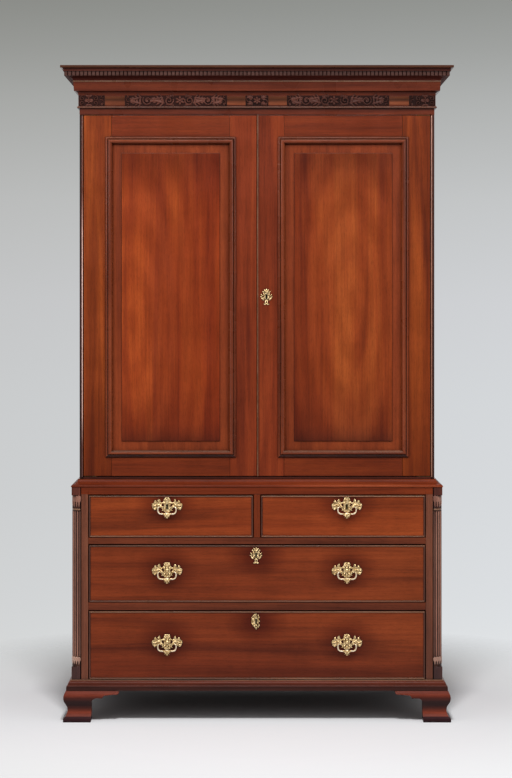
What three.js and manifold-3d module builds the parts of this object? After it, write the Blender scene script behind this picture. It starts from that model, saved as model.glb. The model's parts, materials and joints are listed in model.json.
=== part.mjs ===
import * as THREE from 'three';
import { mergeVertices } from 'three/addons/utils/BufferGeometryUtils.js';
import Module from 'manifold-3d';

// A mahogany linen press in two cases: sliding trays behind two panelled doors, over four drawers.
// Lengths are in millimetres. X runs to the right, the front faces -Y and Z is up.
// The origin lies on the floor, in the middle of the whole piece.

const wasm = await Module();
wasm.setup();

// Plan of the two cases
const baseWidth = 1246;
const baseDepth = 580;
const upperSetback = 24.5;
const caseBoard = 20;
const backBoard = 12;

// Heights, from the floor up
const footHeight = 104;
const baseMouldingHeight = 35;
const bottomDrawerHeight = 233;
const lowerRailHeight = 26;
const middleDrawerHeight = 196;
const upperRailHeight = 22;
const shortDrawerHeight = 145;
const topRailHeight = 24;
const waistHeight = 30;
const upperCaseHeight = 1254;

// Clearances
const fit = 0.3;
const overrun = 5;
const bite = 1;

// Steps of the round stretches
const mouldingSteps = 4;
const arcSteps = 10;
const postSides = 10;
const boreSides = 8;
const fluteSteps = 4;

// Cornice, as heights of its members and their reach beyond the upper case
const corniceFrame = 20;
const bandHeight = 21;
const beadHeight = 7;
const beadReach = 8;
const friezeHeight = 38;
const friezeReach = 3.5;
const friezeCoveHeight = 13;
const fasciaHeight = 34;
const fasciaFootReach = 17.5;
const fasciaReach = 20;
const soffitHeight = 14;
const dentilHeight = 15;
const dentilBackReach = 42.5;
const dentilReach = 47.5;
const dentilWidth = 10.3;
const dentilPitch = 13.4;
const filletHeight = 6;
const filletReach = 51;
const crownCoveHeight = 5;
const crownFilletHeight = 8;
const crownFilletStep = 2;
const crownReach = 60;
const corniceRearRailHeight = 112;

// Waist moulding
const waistOverhang = 2;
const waistFootFillet = 4;
const waistOvoloHeight = 12;
const waistOvoloReach = 8;
const waistStep = 2;
const waistCoveHeight = 7;
const waistTopFillet = 4;
const waistTopReach = 4;

// Base moulding
const baseMouldingReach = 17;
const baseMouldingFoot = 8;
const baseMouldingOvoloHeight = 10;
const baseMouldingOvoloReach = 13;
const baseMouldingStep = 2;
const baseMouldingCoveHeight = 11;
const baseMouldingTopReach = 4;

// Ogee bracket feet: the ogee as shares of reach and height, the bracket as lengths from the case corner
const footReach = 26;
const footBoard = 18;
const footWing = 160;
const footPad = 66;
const footAnkle = 68;
const footArchSpring = 62;
const footArchWidth = 20;
const footCuspHeight = 80;
const footCuspWidth = 16;
const footRampHeight = 89;
const footRampStep = 6;
const footDropRadius = 7;
const footDropShoulder = 93;
const footBlockInset = 10;
const footBlockWidth = 50;
const footOgeeShares = [
  [1.03, 0], [1.02, 0.12], [0.92, 0.14], [0.68, 0.2], [0.52, 0.29], [0.48, 0.38], [0.54, 0.48], [0.72, 0.57],
  [0.92, 0.65], [1, 0.74], [0.98, 0.83], [0.88, 0.91], [0.7, 1],
];

// Corner strips and quarter columns
const openingMargin = 56;
const columnPocket = 29.5;
const postDepth = 60;
const columnPlinthHeight = 42;
const columnBaseHeight = 33;
const columnNeckHeight = 12;
const columnBellHeight = 42;
const columnCapitalHeight = 27;
const columnShaftInset = 1.5;
const columnFluteDepth = 3;
const columnFluteShare = 0.72;
const columnFlutes = 4;
const columnRingStep = 1.4;
const columnBaseRingShares = [0.25, 0.33];
const columnNeckRingShare = 0.33;

// Rails, runners and boards between the drawers
const dividerWidth = 22;
const dividerGuide = 12;
const runnerWidth = 40;
const dustThickness = 8;
const bottomThickness = 12;

// Drawers
const drawerSideGap = 1.5;
const drawerTopGap = 1.5;
const drawerFront = 20;
const drawerWall = 12;
const drawerBottom = 8;
const drawerBottomRise = 10;
const drawerLipDrop = 12;
const drawerBackGap = 16;
const cockbead = 4.5;
const cockbeadProud = 2.5;

// Upper case
const sideBead = 12;
const bottomBoard = 20;
const bottomBoardRise = 13;
const plinthStrip = 20;
const topBoard = 20;
const runnerReach = 18;
const runnerHeight = 18;
const trayHeight = 110;
const trayFrontHeight = 62;
const trayRearGap = 34.5;
const traySetback = 58;
const traySweep = 130;
const trayWall = 12;
const trayBottom = 10;
const trayGap = 2;
const trayPitch = 285;
const trayNames = ['lower', 'middle', 'upper'];
const plankCount = 4;
const plankGroove = 3;

// Doors
const doorThickness = 25;
const doorStopGap = 1.5;
const doorSideGap = 2.2;
const doorEdgeGap = 2;
const doorMeetingGap = 2;
const meetingStileWidth = 90;
const outerStileWidth = 93.5;
const topRailWidth = 93;
const bottomRailWidth = 84;
const meetingBeadWidth = 6;
const meetingBeadProud = 3;
const panelGrooveDepth = 10;
const panelTongue = 8;
const panelTongueSetback = 10;
const panelTongueReach = 8;
const panelFieldSetback = 2;
const panelFieldStep = 3;
const panelBevelWidth = 31;
const panelBevelFall = 4;
const mouldingWidth = 23.5;
const mouldingLap = 20;
const mouldingProud = 9.5;
const mouldingOuterFillet = 3;
const mouldingInnerProud = 2;
const mouldingCrestShare = 0.42;

// Pin hinges in the head and the foot of each door, placed from the door's outer edge and its front
const pivotInset = 7;
const pivotDepth = 5;
const pivotPinRadius = 2.2;
const pivotPinLength = 14;
const pivotPlateThickness = 1.4;
const pivotPlateLength = 38;
const pivotPlateNose = 5;
const pivotPlateEdge = 1.5;
const pivotPlateWidth = 18;
const pivotSides = 16;

// Pierced handles: the outline as shares of half width, of rise above the posts and of fall below them
const handleOffsetShare = 0.5326;
const shortHandleDrop = 40.5;
const middleHandleDrop = 92;
const bottomHandleDrop = 111.5;
const plateThickness = 1.6;
const plateHalfWidth = 51.5;
const plateRise = 31.5;
const plateFall = 24;
const plateShares = [
  [0, 1], [0.13, 0.97], [0.23, 0.78], [0.21, 0.6], [0.31, 0.45], [0.42, 0.46],
  [0.47, 0.78], [0.56, 0.8], [0.59, 0.52], [0.68, 0.46], [0.74, 0.7], [0.84, 0.62],
  [0.86, 0.38], [0.97, 0.3], [1, 0.1], [0.97, -0.22], [0.84, -0.46], [0.7, -0.38],
  [0.6, -0.16], [0.48, -0.18], [0.36, -0.26], [0.26, -0.5], [0.16, -0.8], [0, -1],
];
const slotShares = [[0.2, 0.14], [0.25, 0.3], [0.36, 0.28], [0.33, 0.08], [0.24, -0.1]];
const postSpacing = 44;
const postLength = 13;
const postFootRadius = 5;
const postFootHeight = 2;
const postNeckRadius = 2.4;
const postBallRadius = 4;
const pinRadius = 1.4;
const pinClearance = 0.4;
const bailHalfWidth = 30.5;
const bailDrop = 24;
const bailRadius = 2.9;
const bailShares = [
  [0.99, -0.16], [1.01, -0.42], [0.97, -0.7], [0.84, -0.93],
  [0.6, -1], [0.36, -0.99], [0.16, -1.04], [0, -1.06],
];
const bailSides = 6;
const bailStepCount = 26;
const leafHalfWidth = 8;
const leafFall = 39;
const leafThickness = 4;
const leafShares = [[0.3, 0.5], [0.62, 0.56], [1, 0.66], [0.7, 0.8], [0.3, 0.9]];

// Escutcheons, with the outline read the same way from the middle of the keyhole
const escutcheonHalfWidth = 21.5;
const escutcheonRise = 27;
const escutcheonFall = 31;
const escutcheonShares = [
  [0, 1], [0.3, 0.86], [0.5, 0.66], [0.62, 0.62], [0.9, 0.52], [0.7, 0.28], [1, 0.14], [0.8, -0.12],
  [0.56, -0.28], [0.42, -0.44], [0.36, -0.62], [0.44, -0.84], [0.3, -0.97], [0, -1],
];
const keyholeRadius = 2.6;
const keyholeSlot = 1.7;
const keyholeRise = 5;
const keyholeFall = 9;
const middleEscutcheonDrop = 37;
const bottomEscutcheonDrop = 36.5;
const doorEscutcheonOffset = 32;
const doorEscutcheonHeight = 1425;

// Levels and planes that follow from the sizes above
const baseHalf = baseWidth / 2;
const upperHalf = baseHalf - upperSetback;
const backY = (baseDepth - upperSetback + crownReach) / 2;
const baseFrontY = backY - baseDepth;
const upperFrontY = baseFrontY + upperSetback;
const mouldingTop = footHeight + baseMouldingHeight;
const bottomOpeningTop = mouldingTop + bottomDrawerHeight;
const middleOpeningFoot = bottomOpeningTop + lowerRailHeight;
const middleOpeningTop = middleOpeningFoot + middleDrawerHeight;
const shortOpeningFoot = middleOpeningTop + upperRailHeight;
const shortOpeningTop = shortOpeningFoot + shortDrawerHeight;
const baseTop = shortOpeningTop + topRailHeight;
const waistTop = baseTop + waistHeight;
const upperTop = baseTop + upperCaseHeight;
const openingHalf = baseHalf - openingMargin;
const handleOffset = openingHalf * handleOffsetShare;
const baseInner = baseHalf - caseBoard;
const upperInner = upperHalf - caseBoard;
const bottomBoardTop = baseTop + bottomBoardRise + bottomBoard;
const rebateDepth = doorThickness + doorStopGap;
const rebateInner = upperHalf - sideBead;
const doorOuter = rebateInner - doorSideGap;
const doorFoot = bottomBoardTop + doorEdgeGap;
const doorTop = upperTop - doorEdgeGap;
const doorMeeting = doorMeetingGap / 2;
const pivotX = doorOuter - pivotInset;
const pivotY = upperFrontY + pivotDepth;

const mahogany = { color: 0x7a3a22, roughness: 0.36, metalness: 0 };
const figured = { color: 0x8c4726, roughness: 0.33, metalness: 0 };
const carved = { color: 0x5f3a2c, roughness: 0.5, metalness: 0 };
const poplar = { color: 0xa98a5c, roughness: 0.7, metalness: 0 };
const oak = { color: 0x9a7648, roughness: 0.62, metalness: 0 };
const brass = { color: 0xc9a961, roughness: 0.34, metalness: 1 };

const press = new THREE.Group();

// Shapes

// Shares the corners of a shape and drops the flat triangles that a lathe leaves at its poles
function merged(geometry) {
  const bare = geometry.clone();
  bare.deleteAttribute('normal');
  bare.deleteAttribute('uv');
  const shared = mergeVertices(bare);
  const kept = [];
  for (let place = 0; place < shared.index.count; place += 3) {
    const corners = [0, 1, 2].map((turn) => shared.index.getX(place + turn));
    if (new Set(corners).size === 3) {
      kept.push(...corners);
    }
  }
  shared.setIndex(kept);
  return shared;
}

function volumeOf(geometry) {
  const corner = [new THREE.Vector3(), new THREE.Vector3(), new THREE.Vector3()];
  let volume = 0;
  for (let place = 0; place < geometry.index.count; place += 3) {
    corner.forEach((point, turn) => {
      point.fromBufferAttribute(geometry.attributes.position, geometry.index.getX(place + turn));
    });
    volume += corner[0].dot(corner[1].clone().cross(corner[2])) / 6;
  }
  return volume;
}

// Turns a shape that is inside out, as a mirror or a swap of axes leaves it
function outward(geometry) {
  if (volumeOf(geometry) < 0) {
    const order = geometry.index.array;
    for (let place = 0; place < order.length; place += 3) {
      [order[place], order[place + 1]] = [order[place + 1], order[place]];
    }
  }
  return geometry;
}

function moved(geometry, rule) {
  const copy = merged(geometry);
  const positions = copy.attributes.position;
  for (let place = 0; place < positions.count; place += 1) {
    const [x, y, z] = rule(positions.getX(place), positions.getY(place), positions.getZ(place));
    positions.setXYZ(place, x, y, z);
  }
  return outward(copy);
}

function mirrored(geometry) {
  return moved(geometry, (x, y, z) => [-x, y, z]);
}

function solidOf(geometry) {
  const whole = merged(geometry);
  return new wasm.Manifold(new wasm.Mesh({
    numProp: 3,
    vertProperties: Float32Array.from(whole.attributes.position.array),
    triVerts: Uint32Array.from(whole.index.array),
  }));
}

function geometryOf(solid) {
  const mesh = solid.getMesh();
  const geometry = new THREE.BufferGeometry();
  geometry.setAttribute('position', new THREE.BufferAttribute(mesh.vertProperties, 3));
  geometry.setIndex(new THREE.BufferAttribute(mesh.triVerts, 1));
  return geometry;
}

function joined(first, ...others) {
  return geometryOf(others.reduce((whole, other) => whole.add(solidOf(other)), solidOf(first)));
}

function cut(first, ...others) {
  return geometryOf(others.reduce((whole, other) => whole.subtract(solidOf(other)), solidOf(first)));
}

function common(first, ...others) {
  return geometryOf(others.reduce((whole, other) => whole.intersect(solidOf(other)), solidOf(first)));
}

function block([x0, x1], [y0, y1], [z0, z1]) {
  const geometry = new THREE.BoxGeometry(x1 - x0, y1 - y0, z1 - z0);
  return geometry.translate((x0 + x1) / 2, (y0 + y1) / 2, (z0 + z1) / 2);
}

// A closed shape that runs anticlockwise, so that holes in it are told from it
function outline(points) {
  const corners = points.map(([across, up]) => new THREE.Vector2(across, up));
  return new THREE.Shape(THREE.ShapeUtils.isClockWise(corners) ? corners.reverse() : corners);
}

// A prism of a shape: along Z the shape lies in X and Y, along Y in X and Z, along X in Y and Z
function prism(shape, axis, [start, end]) {
  const flat = new THREE.ExtrudeGeometry(shape, {
    depth: end - start, bevelEnabled: false, curveSegments: arcSteps, steps: 1,
  });
  const rules = {
    x: (across, up, along) => [start + along, across, up],
    y: (across, up, along) => [across, start + along, up],
    z: (across, up, along) => [across, up, start + along],
  };
  return moved(flat, rules[axis]);
}

// Joins rings of equal count into one skin, closed on itself or capped at both ends
function loft(rings, cap, closed) {
  const count = rings[0].length;
  const positions = rings.flatMap((ring) => ring.flatMap((point) => point));
  const order = [];
  const last = closed ? rings.length : rings.length - 1;
  for (let ring = 0; ring < last; ring += 1) {
    const here = ring * count;
    const next = ((ring + 1) % rings.length) * count;
    for (let place = 0; place < count; place += 1) {
      const after = (place + 1) % count;
      order.push(here + place, here + after, next + after);
      order.push(here + place, next + after, next + place);
    }
  }
  if (!closed) {
    const end = (rings.length - 1) * count;
    cap.forEach(([first, second, third]) => {
      order.push(third, second, first);
      order.push(end + first, end + second, end + third);
    });
  }
  const geometry = new THREE.BufferGeometry();
  geometry.setAttribute('position', new THREE.Float32BufferAttribute(positions, 3));
  geometry.setIndex(order);
  return outward(geometry);
}

function fanCap(count) {
  return Array.from({ length: count - 2 }, (unused, place) => [0, place + 1, place + 2]);
}

function outlineCap(profile) {
  const contour = profile.map(([across, up]) => new THREE.Vector2(across, up));
  return THREE.ShapeUtils.triangulateShape(contour, []);
}

// A quarter turn between two points, which leaves the first one along the first axis or the second
function quarter(from, to, acrossFirst) {
  return Array.from({ length: mouldingSteps }, (unused, step) => {
    const turn = ((step + 1) / mouldingSteps) * (Math.PI / 2);
    const early = Math.sin(turn);
    const late = 1 - Math.cos(turn);
    return [
      from[0] + (to[0] - from[0]) * (acrossFirst ? early : late),
      from[1] + (to[1] - from[1]) * (acrossFirst ? late : early),
    ];
  });
}

// A moulding with mitred corners round the left side, the front and the right side of a case
function roundCase(profile, half, frontY) {
  const stations = [
    (reach) => [-half - reach, backY],
    (reach) => [-half - reach, frontY - reach],
    (reach) => [half + reach, frontY - reach],
    (reach) => [half + reach, backY],
  ];
  const rings = stations.map((station) => profile.map(([reach, height]) => [...station(reach), height]));
  return loft(rings, outlineCap(profile), false);
}

function add(name, geometry, finish) {
  const mesh = new THREE.Mesh(geometry, new THREE.MeshStandardMaterial({ ...finish, flatShading: true }));
  mesh.name = name;
  press.add(mesh);
}

function addPair(name, geometry, finish) {
  add(`${name}_left`, geometry, finish);
  add(`${name}_right`, mirrored(geometry), finish);
}

// Cornice and mouldings

// The level at which each member of the cornice starts, from the height of the member under it
function corniceLevels() {
  const heights = {
    foot: 0,
    bead: bandHeight,
    frieze: beadHeight,
    cove: friezeHeight,
    fascia: friezeCoveHeight,
    soffit: fasciaHeight,
    dentil: soffitHeight,
    fillet: dentilHeight,
    crownCove: filletHeight,
    crownFillet: crownCoveHeight,
    top: crownFilletHeight,
  };
  const levels = {};
  let level = upperTop;
  Object.entries(heights).forEach(([member, height]) => {
    level += height;
    levels[member] = level;
  });
  return levels;
}

function corniceProfile() {
  const { foot, bead, frieze, cove, fascia, soffit } = corniceLevels();
  const { dentil, fillet, crownCove, crownFillet, top } = corniceLevels();
  const round = beadHeight / 2;
  const beadArc = Array.from({ length: mouldingSteps + 1 }, (unused, step) => {
    const turn = (step / mouldingSteps - 1 / 2) * Math.PI;
    return [beadReach - round + round * Math.cos(turn), bead + round + round * Math.sin(turn)];
  });
  return [
    [-corniceFrame, foot],
    [0, foot],
    [0, bead],
    ...beadArc,
    [friezeReach, frieze],
    [friezeReach, cove],
    ...quarter([friezeReach, cove], [fasciaFootReach, fascia], false),
    [fasciaReach, soffit],
    ...quarter([fasciaReach, soffit], [dentilBackReach, dentil], false),
    [dentilBackReach, fillet],
    [filletReach, fillet],
    [filletReach, crownCove],
    ...quarter([filletReach, crownCove], [crownReach - crownFilletStep, crownFillet], false),
    [crownReach, crownFillet],
    [crownReach, top],
    [-corniceFrame, top],
  ];
}

// Square teeth under the fillet, in a row along the front and along each side
function dentils() {
  const { dentil, fillet } = corniceLevels();
  const heights = [dentil, fillet + bite];
  const side = upperHalf + dentilReach;
  const frontY = upperFrontY - dentilReach;
  const deep = dentilReach - dentilBackReach + bite;
  const frontSpan = side * 2 - dentilWidth;
  const frontCount = Math.round(frontSpan / dentilPitch);
  const teeth = [];
  for (let tooth = 1; tooth < frontCount; tooth += 1) {
    const left = -side + (frontSpan * tooth) / frontCount;
    teeth.push(block([left, left + dentilWidth], [frontY, frontY + deep], heights));
  }
  const sideCount = Math.floor((backY - frontY) / dentilPitch);
  for (let tooth = 0; tooth < sideCount; tooth += 1) {
    const front = frontY + dentilPitch * tooth;
    const thick = tooth === 0 ? dentilWidth : deep;
    const sideTooth = block([-side, -side + thick], [front, front + dentilWidth], heights);
    teeth.push(sideTooth, mirrored(sideTooth));
  }
  return teeth;
}

function makeCornice() {
  const run = roundCase(corniceProfile(), upperHalf, upperFrontY);
  const rearRail = block(
    [-upperInner - bite, upperInner + bite],
    [backY - caseBoard, backY],
    [upperTop, upperTop + corniceRearRailHeight],
  );
  add('cornice', joined(run, rearRail, ...dentils()), mahogany);
}

function makeWaistMoulding() {
  const foot = baseTop + fit;
  const reach = upperSetback + waistOverhang;
  const ovoloFoot = foot + waistFootFillet;
  const ovoloTop = ovoloFoot + waistOvoloHeight;
  const coveFoot = ovoloTop + waistStep;
  const coveTop = coveFoot + waistCoveHeight;
  const ovoloReach = reach - waistOvoloReach;
  add('waist_moulding', roundCase([
    [fit, foot],
    [reach, foot],
    [reach, ovoloFoot],
    ...quarter([reach, ovoloFoot], [ovoloReach, ovoloTop], false),
    [ovoloReach - waistStep, ovoloTop],
    [ovoloReach - waistStep, coveFoot],
    ...quarter([ovoloReach - waistStep, coveFoot], [waistTopReach + waistStep, coveTop], true),
    [waistTopReach, coveTop],
    [waistTopReach, coveTop + waistTopFillet],
    [fit, waistTop],
  ], upperHalf, upperFrontY), mahogany);
}

function makeBaseMoulding() {
  const ovoloFoot = footHeight + baseMouldingFoot;
  const ovoloTop = ovoloFoot + baseMouldingOvoloHeight;
  const coveFoot = ovoloTop + baseMouldingStep;
  const coveTop = coveFoot + baseMouldingCoveHeight;
  add('base_moulding', roundCase([
    [fit, footHeight],
    [baseMouldingReach, footHeight],
    [baseMouldingReach, ovoloFoot],
    ...quarter([baseMouldingReach, ovoloFoot], [baseMouldingOvoloReach, ovoloTop], false),
    [baseMouldingOvoloReach - baseMouldingStep, ovoloTop],
    [baseMouldingOvoloReach - baseMouldingStep, coveFoot],
    ...quarter([baseMouldingOvoloReach - baseMouldingStep, coveFoot], [baseMouldingTopReach, coveTop], false),
    [baseMouldingTopReach, mouldingTop],
    [fit, mouldingTop],
  ], baseHalf, baseFrontY), mahogany);
}

// Feet

// The lower edge of a bracket, as points of distance from the case corner and height
function bracketOutline() {
  const archTop = footAnkle + footArchWidth;
  const ramp = archTop + footCuspWidth + footRampStep;
  const drop = footWing - footDropRadius;
  const dropFoot = footHeight - footDropRadius - footDropRadius;
  const shape = new THREE.Shape();
  shape.moveTo(-footReach - overrun, -overrun);
  shape.lineTo(footPad, -overrun);
  shape.lineTo(footPad, 0);
  shape.lineTo(footAnkle, footArchSpring);
  shape.quadraticCurveTo(footAnkle, footCuspHeight, archTop, footCuspHeight);
  shape.lineTo(archTop + footCuspWidth, footCuspHeight);
  shape.lineTo(ramp, footRampHeight);
  shape.lineTo(drop - footDropRadius, footDropShoulder);
  shape.quadraticCurveTo(drop, dropFoot, footWing, footHeight - footDropRadius);
  shape.lineTo(footWing, footHeight + overrun);
  shape.lineTo(-footReach - overrun, footHeight + overrun);
  return shape;
}

function ogeeProfile() {
  const top = footHeight - fit;
  const face = footOgeeShares.map(([reach, height]) => [footReach * reach, top * height]);
  return [[-footBoard, 0], ...face, [-footBoard, top]];
}

function frontBracketCutter() {
  const span = [baseFrontY - footReach - overrun, backY + overrun];
  return moved(prism(bracketOutline(), 'y', span), (x, y, z) => [x - baseHalf, y, z]);
}

function makeFrontFeet() {
  const profile = ogeeProfile();
  const stations = [
    (reach) => [-baseHalf + footWing, baseFrontY - reach],
    (reach) => [-baseHalf - reach, baseFrontY - reach],
    (reach) => [-baseHalf - reach, baseFrontY + footWing],
  ];
  const rings = stations.map((station) => profile.map(([reach, height]) => [...station(reach), height]));
  const corner = loft(rings, outlineCap(profile), false);
  const sideSpan = [-baseHalf - footReach - overrun, baseHalf];
  const sideCutter = moved(prism(bracketOutline(), 'x', sideSpan), (x, y, z) => [x, y + baseFrontY, z]);
  const near = footBlockInset;
  const far = footBlockInset + footBlockWidth;
  const glueBlock = block(
    [-baseHalf + near, -baseHalf + far],
    [baseFrontY + near, baseFrontY + far],
    [0, footHeight - fit],
  );
  addPair('front_foot', joined(common(corner, frontBracketCutter(), sideCutter), glueBlock), mahogany);
}

function makeRearFeet() {
  const profile = ogeeProfile();
  const stations = [
    (reach) => [-baseHalf - reach, backY - footWing],
    (reach) => [-baseHalf - reach, backY],
  ];
  const rings = stations.map((station) => profile.map(([reach, height]) => [...station(reach), height]));
  const side = loft(rings, outlineCap(profile), false);
  const sideSpan = [-baseHalf - footReach - overrun, baseHalf];
  const sideCutter = moved(prism(bracketOutline(), 'x', sideSpan), (x, y, z) => [x, backY - y, z]);
  const rear = block(
    [-baseHalf, -baseHalf + footWing],
    [backY - footBoard, backY],
    [0, footHeight - fit],
  );
  const near = footBlockInset;
  const far = footBlockInset + footBlockWidth;
  const glueBlock = block(
    [-baseHalf + near, -baseHalf + far],
    [backY - far, backY - near],
    [0, footHeight - fit],
  );
  const sideBracket = common(side, sideCutter);
  const rearBracket = common(rear, frontBracketCutter());
  addPair('rear_foot', joined(sideBracket, rearBracket, glueBlock), mahogany);
}

// Base case

function makeBaseSides() {
  addPair('base_side', block(
    [-baseHalf, -baseInner],
    [baseFrontY + columnPocket + fit, backY],
    [footHeight + fit, baseTop],
  ), mahogany);
}

function makeCornerPosts() {
  const strip = baseHalf - columnPocket;
  const behind = baseInner - fit;
  addPair('corner_post', prism(outline([
    [-strip, baseFrontY],
    [-openingHalf, baseFrontY],
    [-openingHalf, baseFrontY + postDepth],
    [-behind, baseFrontY + postDepth],
    [-behind, baseFrontY + columnPocket],
    [-strip, baseFrontY + columnPocket],
  ]), 'z', [footHeight + fit, baseTop]), mahogany);
}

// One ring of the quarter column: the axis and then an arc, fluted, plain or drawn out to a square
function columnRing(radius, form, height) {
  const steps = columnFlutes * fluteSteps;
  const ring = [[0, 0, height]];
  for (let step = 0; step <= steps; step += 1) {
    const turn = (step / steps) * (Math.PI / 2);
    const across = Math.cos(turn);
    const along = Math.sin(turn);
    const square = 1 / Math.max(across, along);
    const fromEdge = Math.abs((step % fluteSteps) - fluteSteps / 2);
    const depthShare = { 0: 1, 1: columnFluteShare, 2: 0 }[fromEdge];
    const fluted = 1 - (columnFluteDepth * depthShare) / radius;
    const scale = { square, fluted, plain: 1 }[form];
    ring.push([-across * radius * scale, -along * radius * scale, height]);
  }
  return ring;
}

function makeQuarterColumns() {
  const reach = columnPocket - fit;
  const shaft = reach - columnShaftInset;
  const plinthTop = mouldingTop + columnPlinthHeight;
  const shaftFoot = plinthTop + columnBaseHeight;
  const capitalFoot = baseTop - columnCapitalHeight;
  const bellFoot = capitalFoot - columnBellHeight;
  const shaftTop = bellFoot - columnNeckHeight;
  const step = columnRingStep;
  const [torusTop, hollowFoot] = columnBaseRingShares.map((share) => plinthTop + columnBaseHeight * share);
  const neck = columnNeckHeight * columnNeckRingShare;
  const rings = [
    columnRing(reach, 'square', footHeight + fit),
    columnRing(reach, 'square', plinthTop),
    columnRing(shaft + step, 'plain', plinthTop + step),
    columnRing(shaft + step, 'plain', torusTop),
    columnRing(shaft - step, 'plain', hollowFoot),
    columnRing(shaft + step / 2, 'plain', shaftFoot - step),
    columnRing(shaft, 'fluted', shaftFoot),
    columnRing(shaft, 'fluted', shaftTop),
    columnRing(shaft, 'plain', shaftTop + step),
    columnRing(shaft + step / 2, 'plain', shaftTop + neck),
    columnRing(shaft + step / 2, 'plain', bellFoot - neck),
    columnRing(shaft - step - step, 'plain', bellFoot),
    columnRing(shaft - step, 'plain', (bellFoot + capitalFoot) / 2),
    columnRing(shaft + step, 'plain', capitalFoot - step),
    columnRing(reach, 'square', capitalFoot),
    columnRing(reach, 'square', baseTop),
  ];
  const column = loft(rings, fanCap(rings[0].length), false);
  const axisX = -baseHalf + reach;
  const axisY = baseFrontY + reach;
  addPair('quarter_column', moved(column, (x, y, z) => [x + axisX, y + axisY, z]), carved);
}

// A rail between the posts with side runners behind it and a thin board let in between them
function railWithBoard([foot, top], [boardFoot, boardTop]) {
  const rearY = backY - backBoard - fit;
  const railY = baseFrontY + postDepth;
  const across = openingHalf - fit;
  const wide = baseInner - fit;
  const inner = wide - runnerWidth;
  const rail = block([-across, across], [baseFrontY, railY], [foot, top]);
  const runner = block([-wide, -inner], [railY + fit, rearY], [foot, top]);
  const otherRunner = block([inner, wide], [railY + fit, rearY], [foot, top]);
  const board = block([-across, across], [railY - bite, rearY], [boardFoot, boardTop]);
  return joined(rail, runner, otherRunner, board);
}

function makeBaseBoards() {
  const dustRise = (upperRailHeight - dustThickness) / 2;
  const lowerFoot = bottomOpeningTop + dustRise;
  const upperFoot = middleOpeningTop + dustRise;
  const topFoot = shortOpeningTop + dustRise;
  const bottomFoot = footHeight + fit;
  add('base_bottom_board', railWithBoard(
    [bottomFoot, mouldingTop],
    [bottomFoot, bottomFoot + bottomThickness],
  ), poplar);
  add('lower_dustboard', railWithBoard(
    [bottomOpeningTop, middleOpeningFoot],
    [lowerFoot, lowerFoot + dustThickness],
  ), mahogany);
  add('upper_dustboard', railWithBoard(
    [middleOpeningTop, shortOpeningFoot],
    [upperFoot, upperFoot + dustThickness],
  ), mahogany);
  add('base_top_board', railWithBoard(
    [shortOpeningTop, baseTop],
    [topFoot, topFoot + dustThickness],
  ), mahogany);
}

function makeDivider() {
  const wide = dividerWidth / 2;
  const narrow = dividerGuide / 2;
  const railY = baseFrontY + postDepth;
  const rearY = backY - backBoard - fit;
  add('drawer_divider', prism(outline([
    [-wide, baseFrontY],
    [wide, baseFrontY],
    [wide, railY],
    [narrow, railY],
    [narrow, rearY],
    [-narrow, rearY],
    [-narrow, railY],
    [-wide, railY],
  ]), 'z', [shortOpeningFoot + fit, shortOpeningTop - fit]), mahogany);
}

// Backboards laid across, with a groove where each meets the next
function backboards(half, [foot, top]) {
  const points = [[backY - backBoard, foot], [backY, foot]];
  for (let seam = 1; seam < plankCount; seam += 1) {
    const height = foot + ((top - foot) * seam) / plankCount;
    points.push([backY, height - plankGroove], [backY - plankGroove, height], [backY, height + plankGroove]);
  }
  points.push([backY, top], [backY - backBoard, top]);
  return prism(outline(points), 'x', [-half, half]);
}

function makeBackboards() {
  add('base_backboards', backboards(baseInner - fit, [footHeight + fit, baseTop]), poplar);
  add('upper_backboards', backboards(upperInner - fit, [baseTop + fit, upperTop - fit]), poplar);
}

// Drawers

function drawer([x0, x1], [openingFoot, openingTop]) {
  const left = x0 + drawerSideGap;
  const right = x1 - drawerSideGap;
  const foot = openingFoot + fit;
  const top = openingTop - drawerTopGap;
  const lip = top - drawerLipDrop;
  const frontBack = baseFrontY + drawerFront;
  const rearY = backY - backBoard - drawerBackGap;
  const face = baseFrontY - cockbeadProud;
  const sunk = block(
    [left + cockbead, right - cockbead],
    [face - overrun, baseFrontY],
    [foot + cockbead, top - cockbead],
  );
  const front = cut(block([left, right], [face, frontBack], [foot, top]), sunk);
  const bottomFoot = foot + drawerBottomRise;
  return joined(
    front,
    block([left, left + drawerWall], [frontBack - bite, rearY], [foot, lip]),
    block([right - drawerWall, right], [frontBack - bite, rearY], [foot, lip]),
    block([left, right], [rearY - drawerWall, rearY], [foot, lip]),
    block(
      [left + bite, right - bite],
      [frontBack - bite, rearY - bite],
      [bottomFoot, bottomFoot + drawerBottom],
    ),
  );
}

const openings = {
  short_drawer_left: {
    across: [-openingHalf, -dividerWidth / 2],
    height: [shortOpeningFoot, shortOpeningTop],
    drop: shortHandleDrop,
  },
  short_drawer_right: {
    across: [dividerWidth / 2, openingHalf],
    height: [shortOpeningFoot, shortOpeningTop],
    drop: shortHandleDrop,
  },
  middle_drawer: {
    across: [-openingHalf, openingHalf],
    height: [middleOpeningFoot, middleOpeningTop],
    drop: middleHandleDrop,
  },
  bottom_drawer: {
    across: [-openingHalf, openingHalf],
    height: [mouldingTop, bottomOpeningTop],
    drop: bottomHandleDrop,
  },
};

function makeDrawers() {
  Object.entries(openings).forEach(([name, { across, height }]) => {
    add(name, drawer(across, height), mahogany);
  });
}

// Brass

function keyhole() {
  const hole = new THREE.Path();
  const lean = Math.asin(keyholeSlot / keyholeRadius);
  hole.absarc(0, keyholeRise, keyholeRadius, -Math.PI / 2 + lean, (Math.PI * 3) / 2 - lean, false);
  hole.lineTo(-keyholeSlot, -keyholeFall);
  hole.lineTo(keyholeSlot, -keyholeFall);
  return hole;
}

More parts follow.
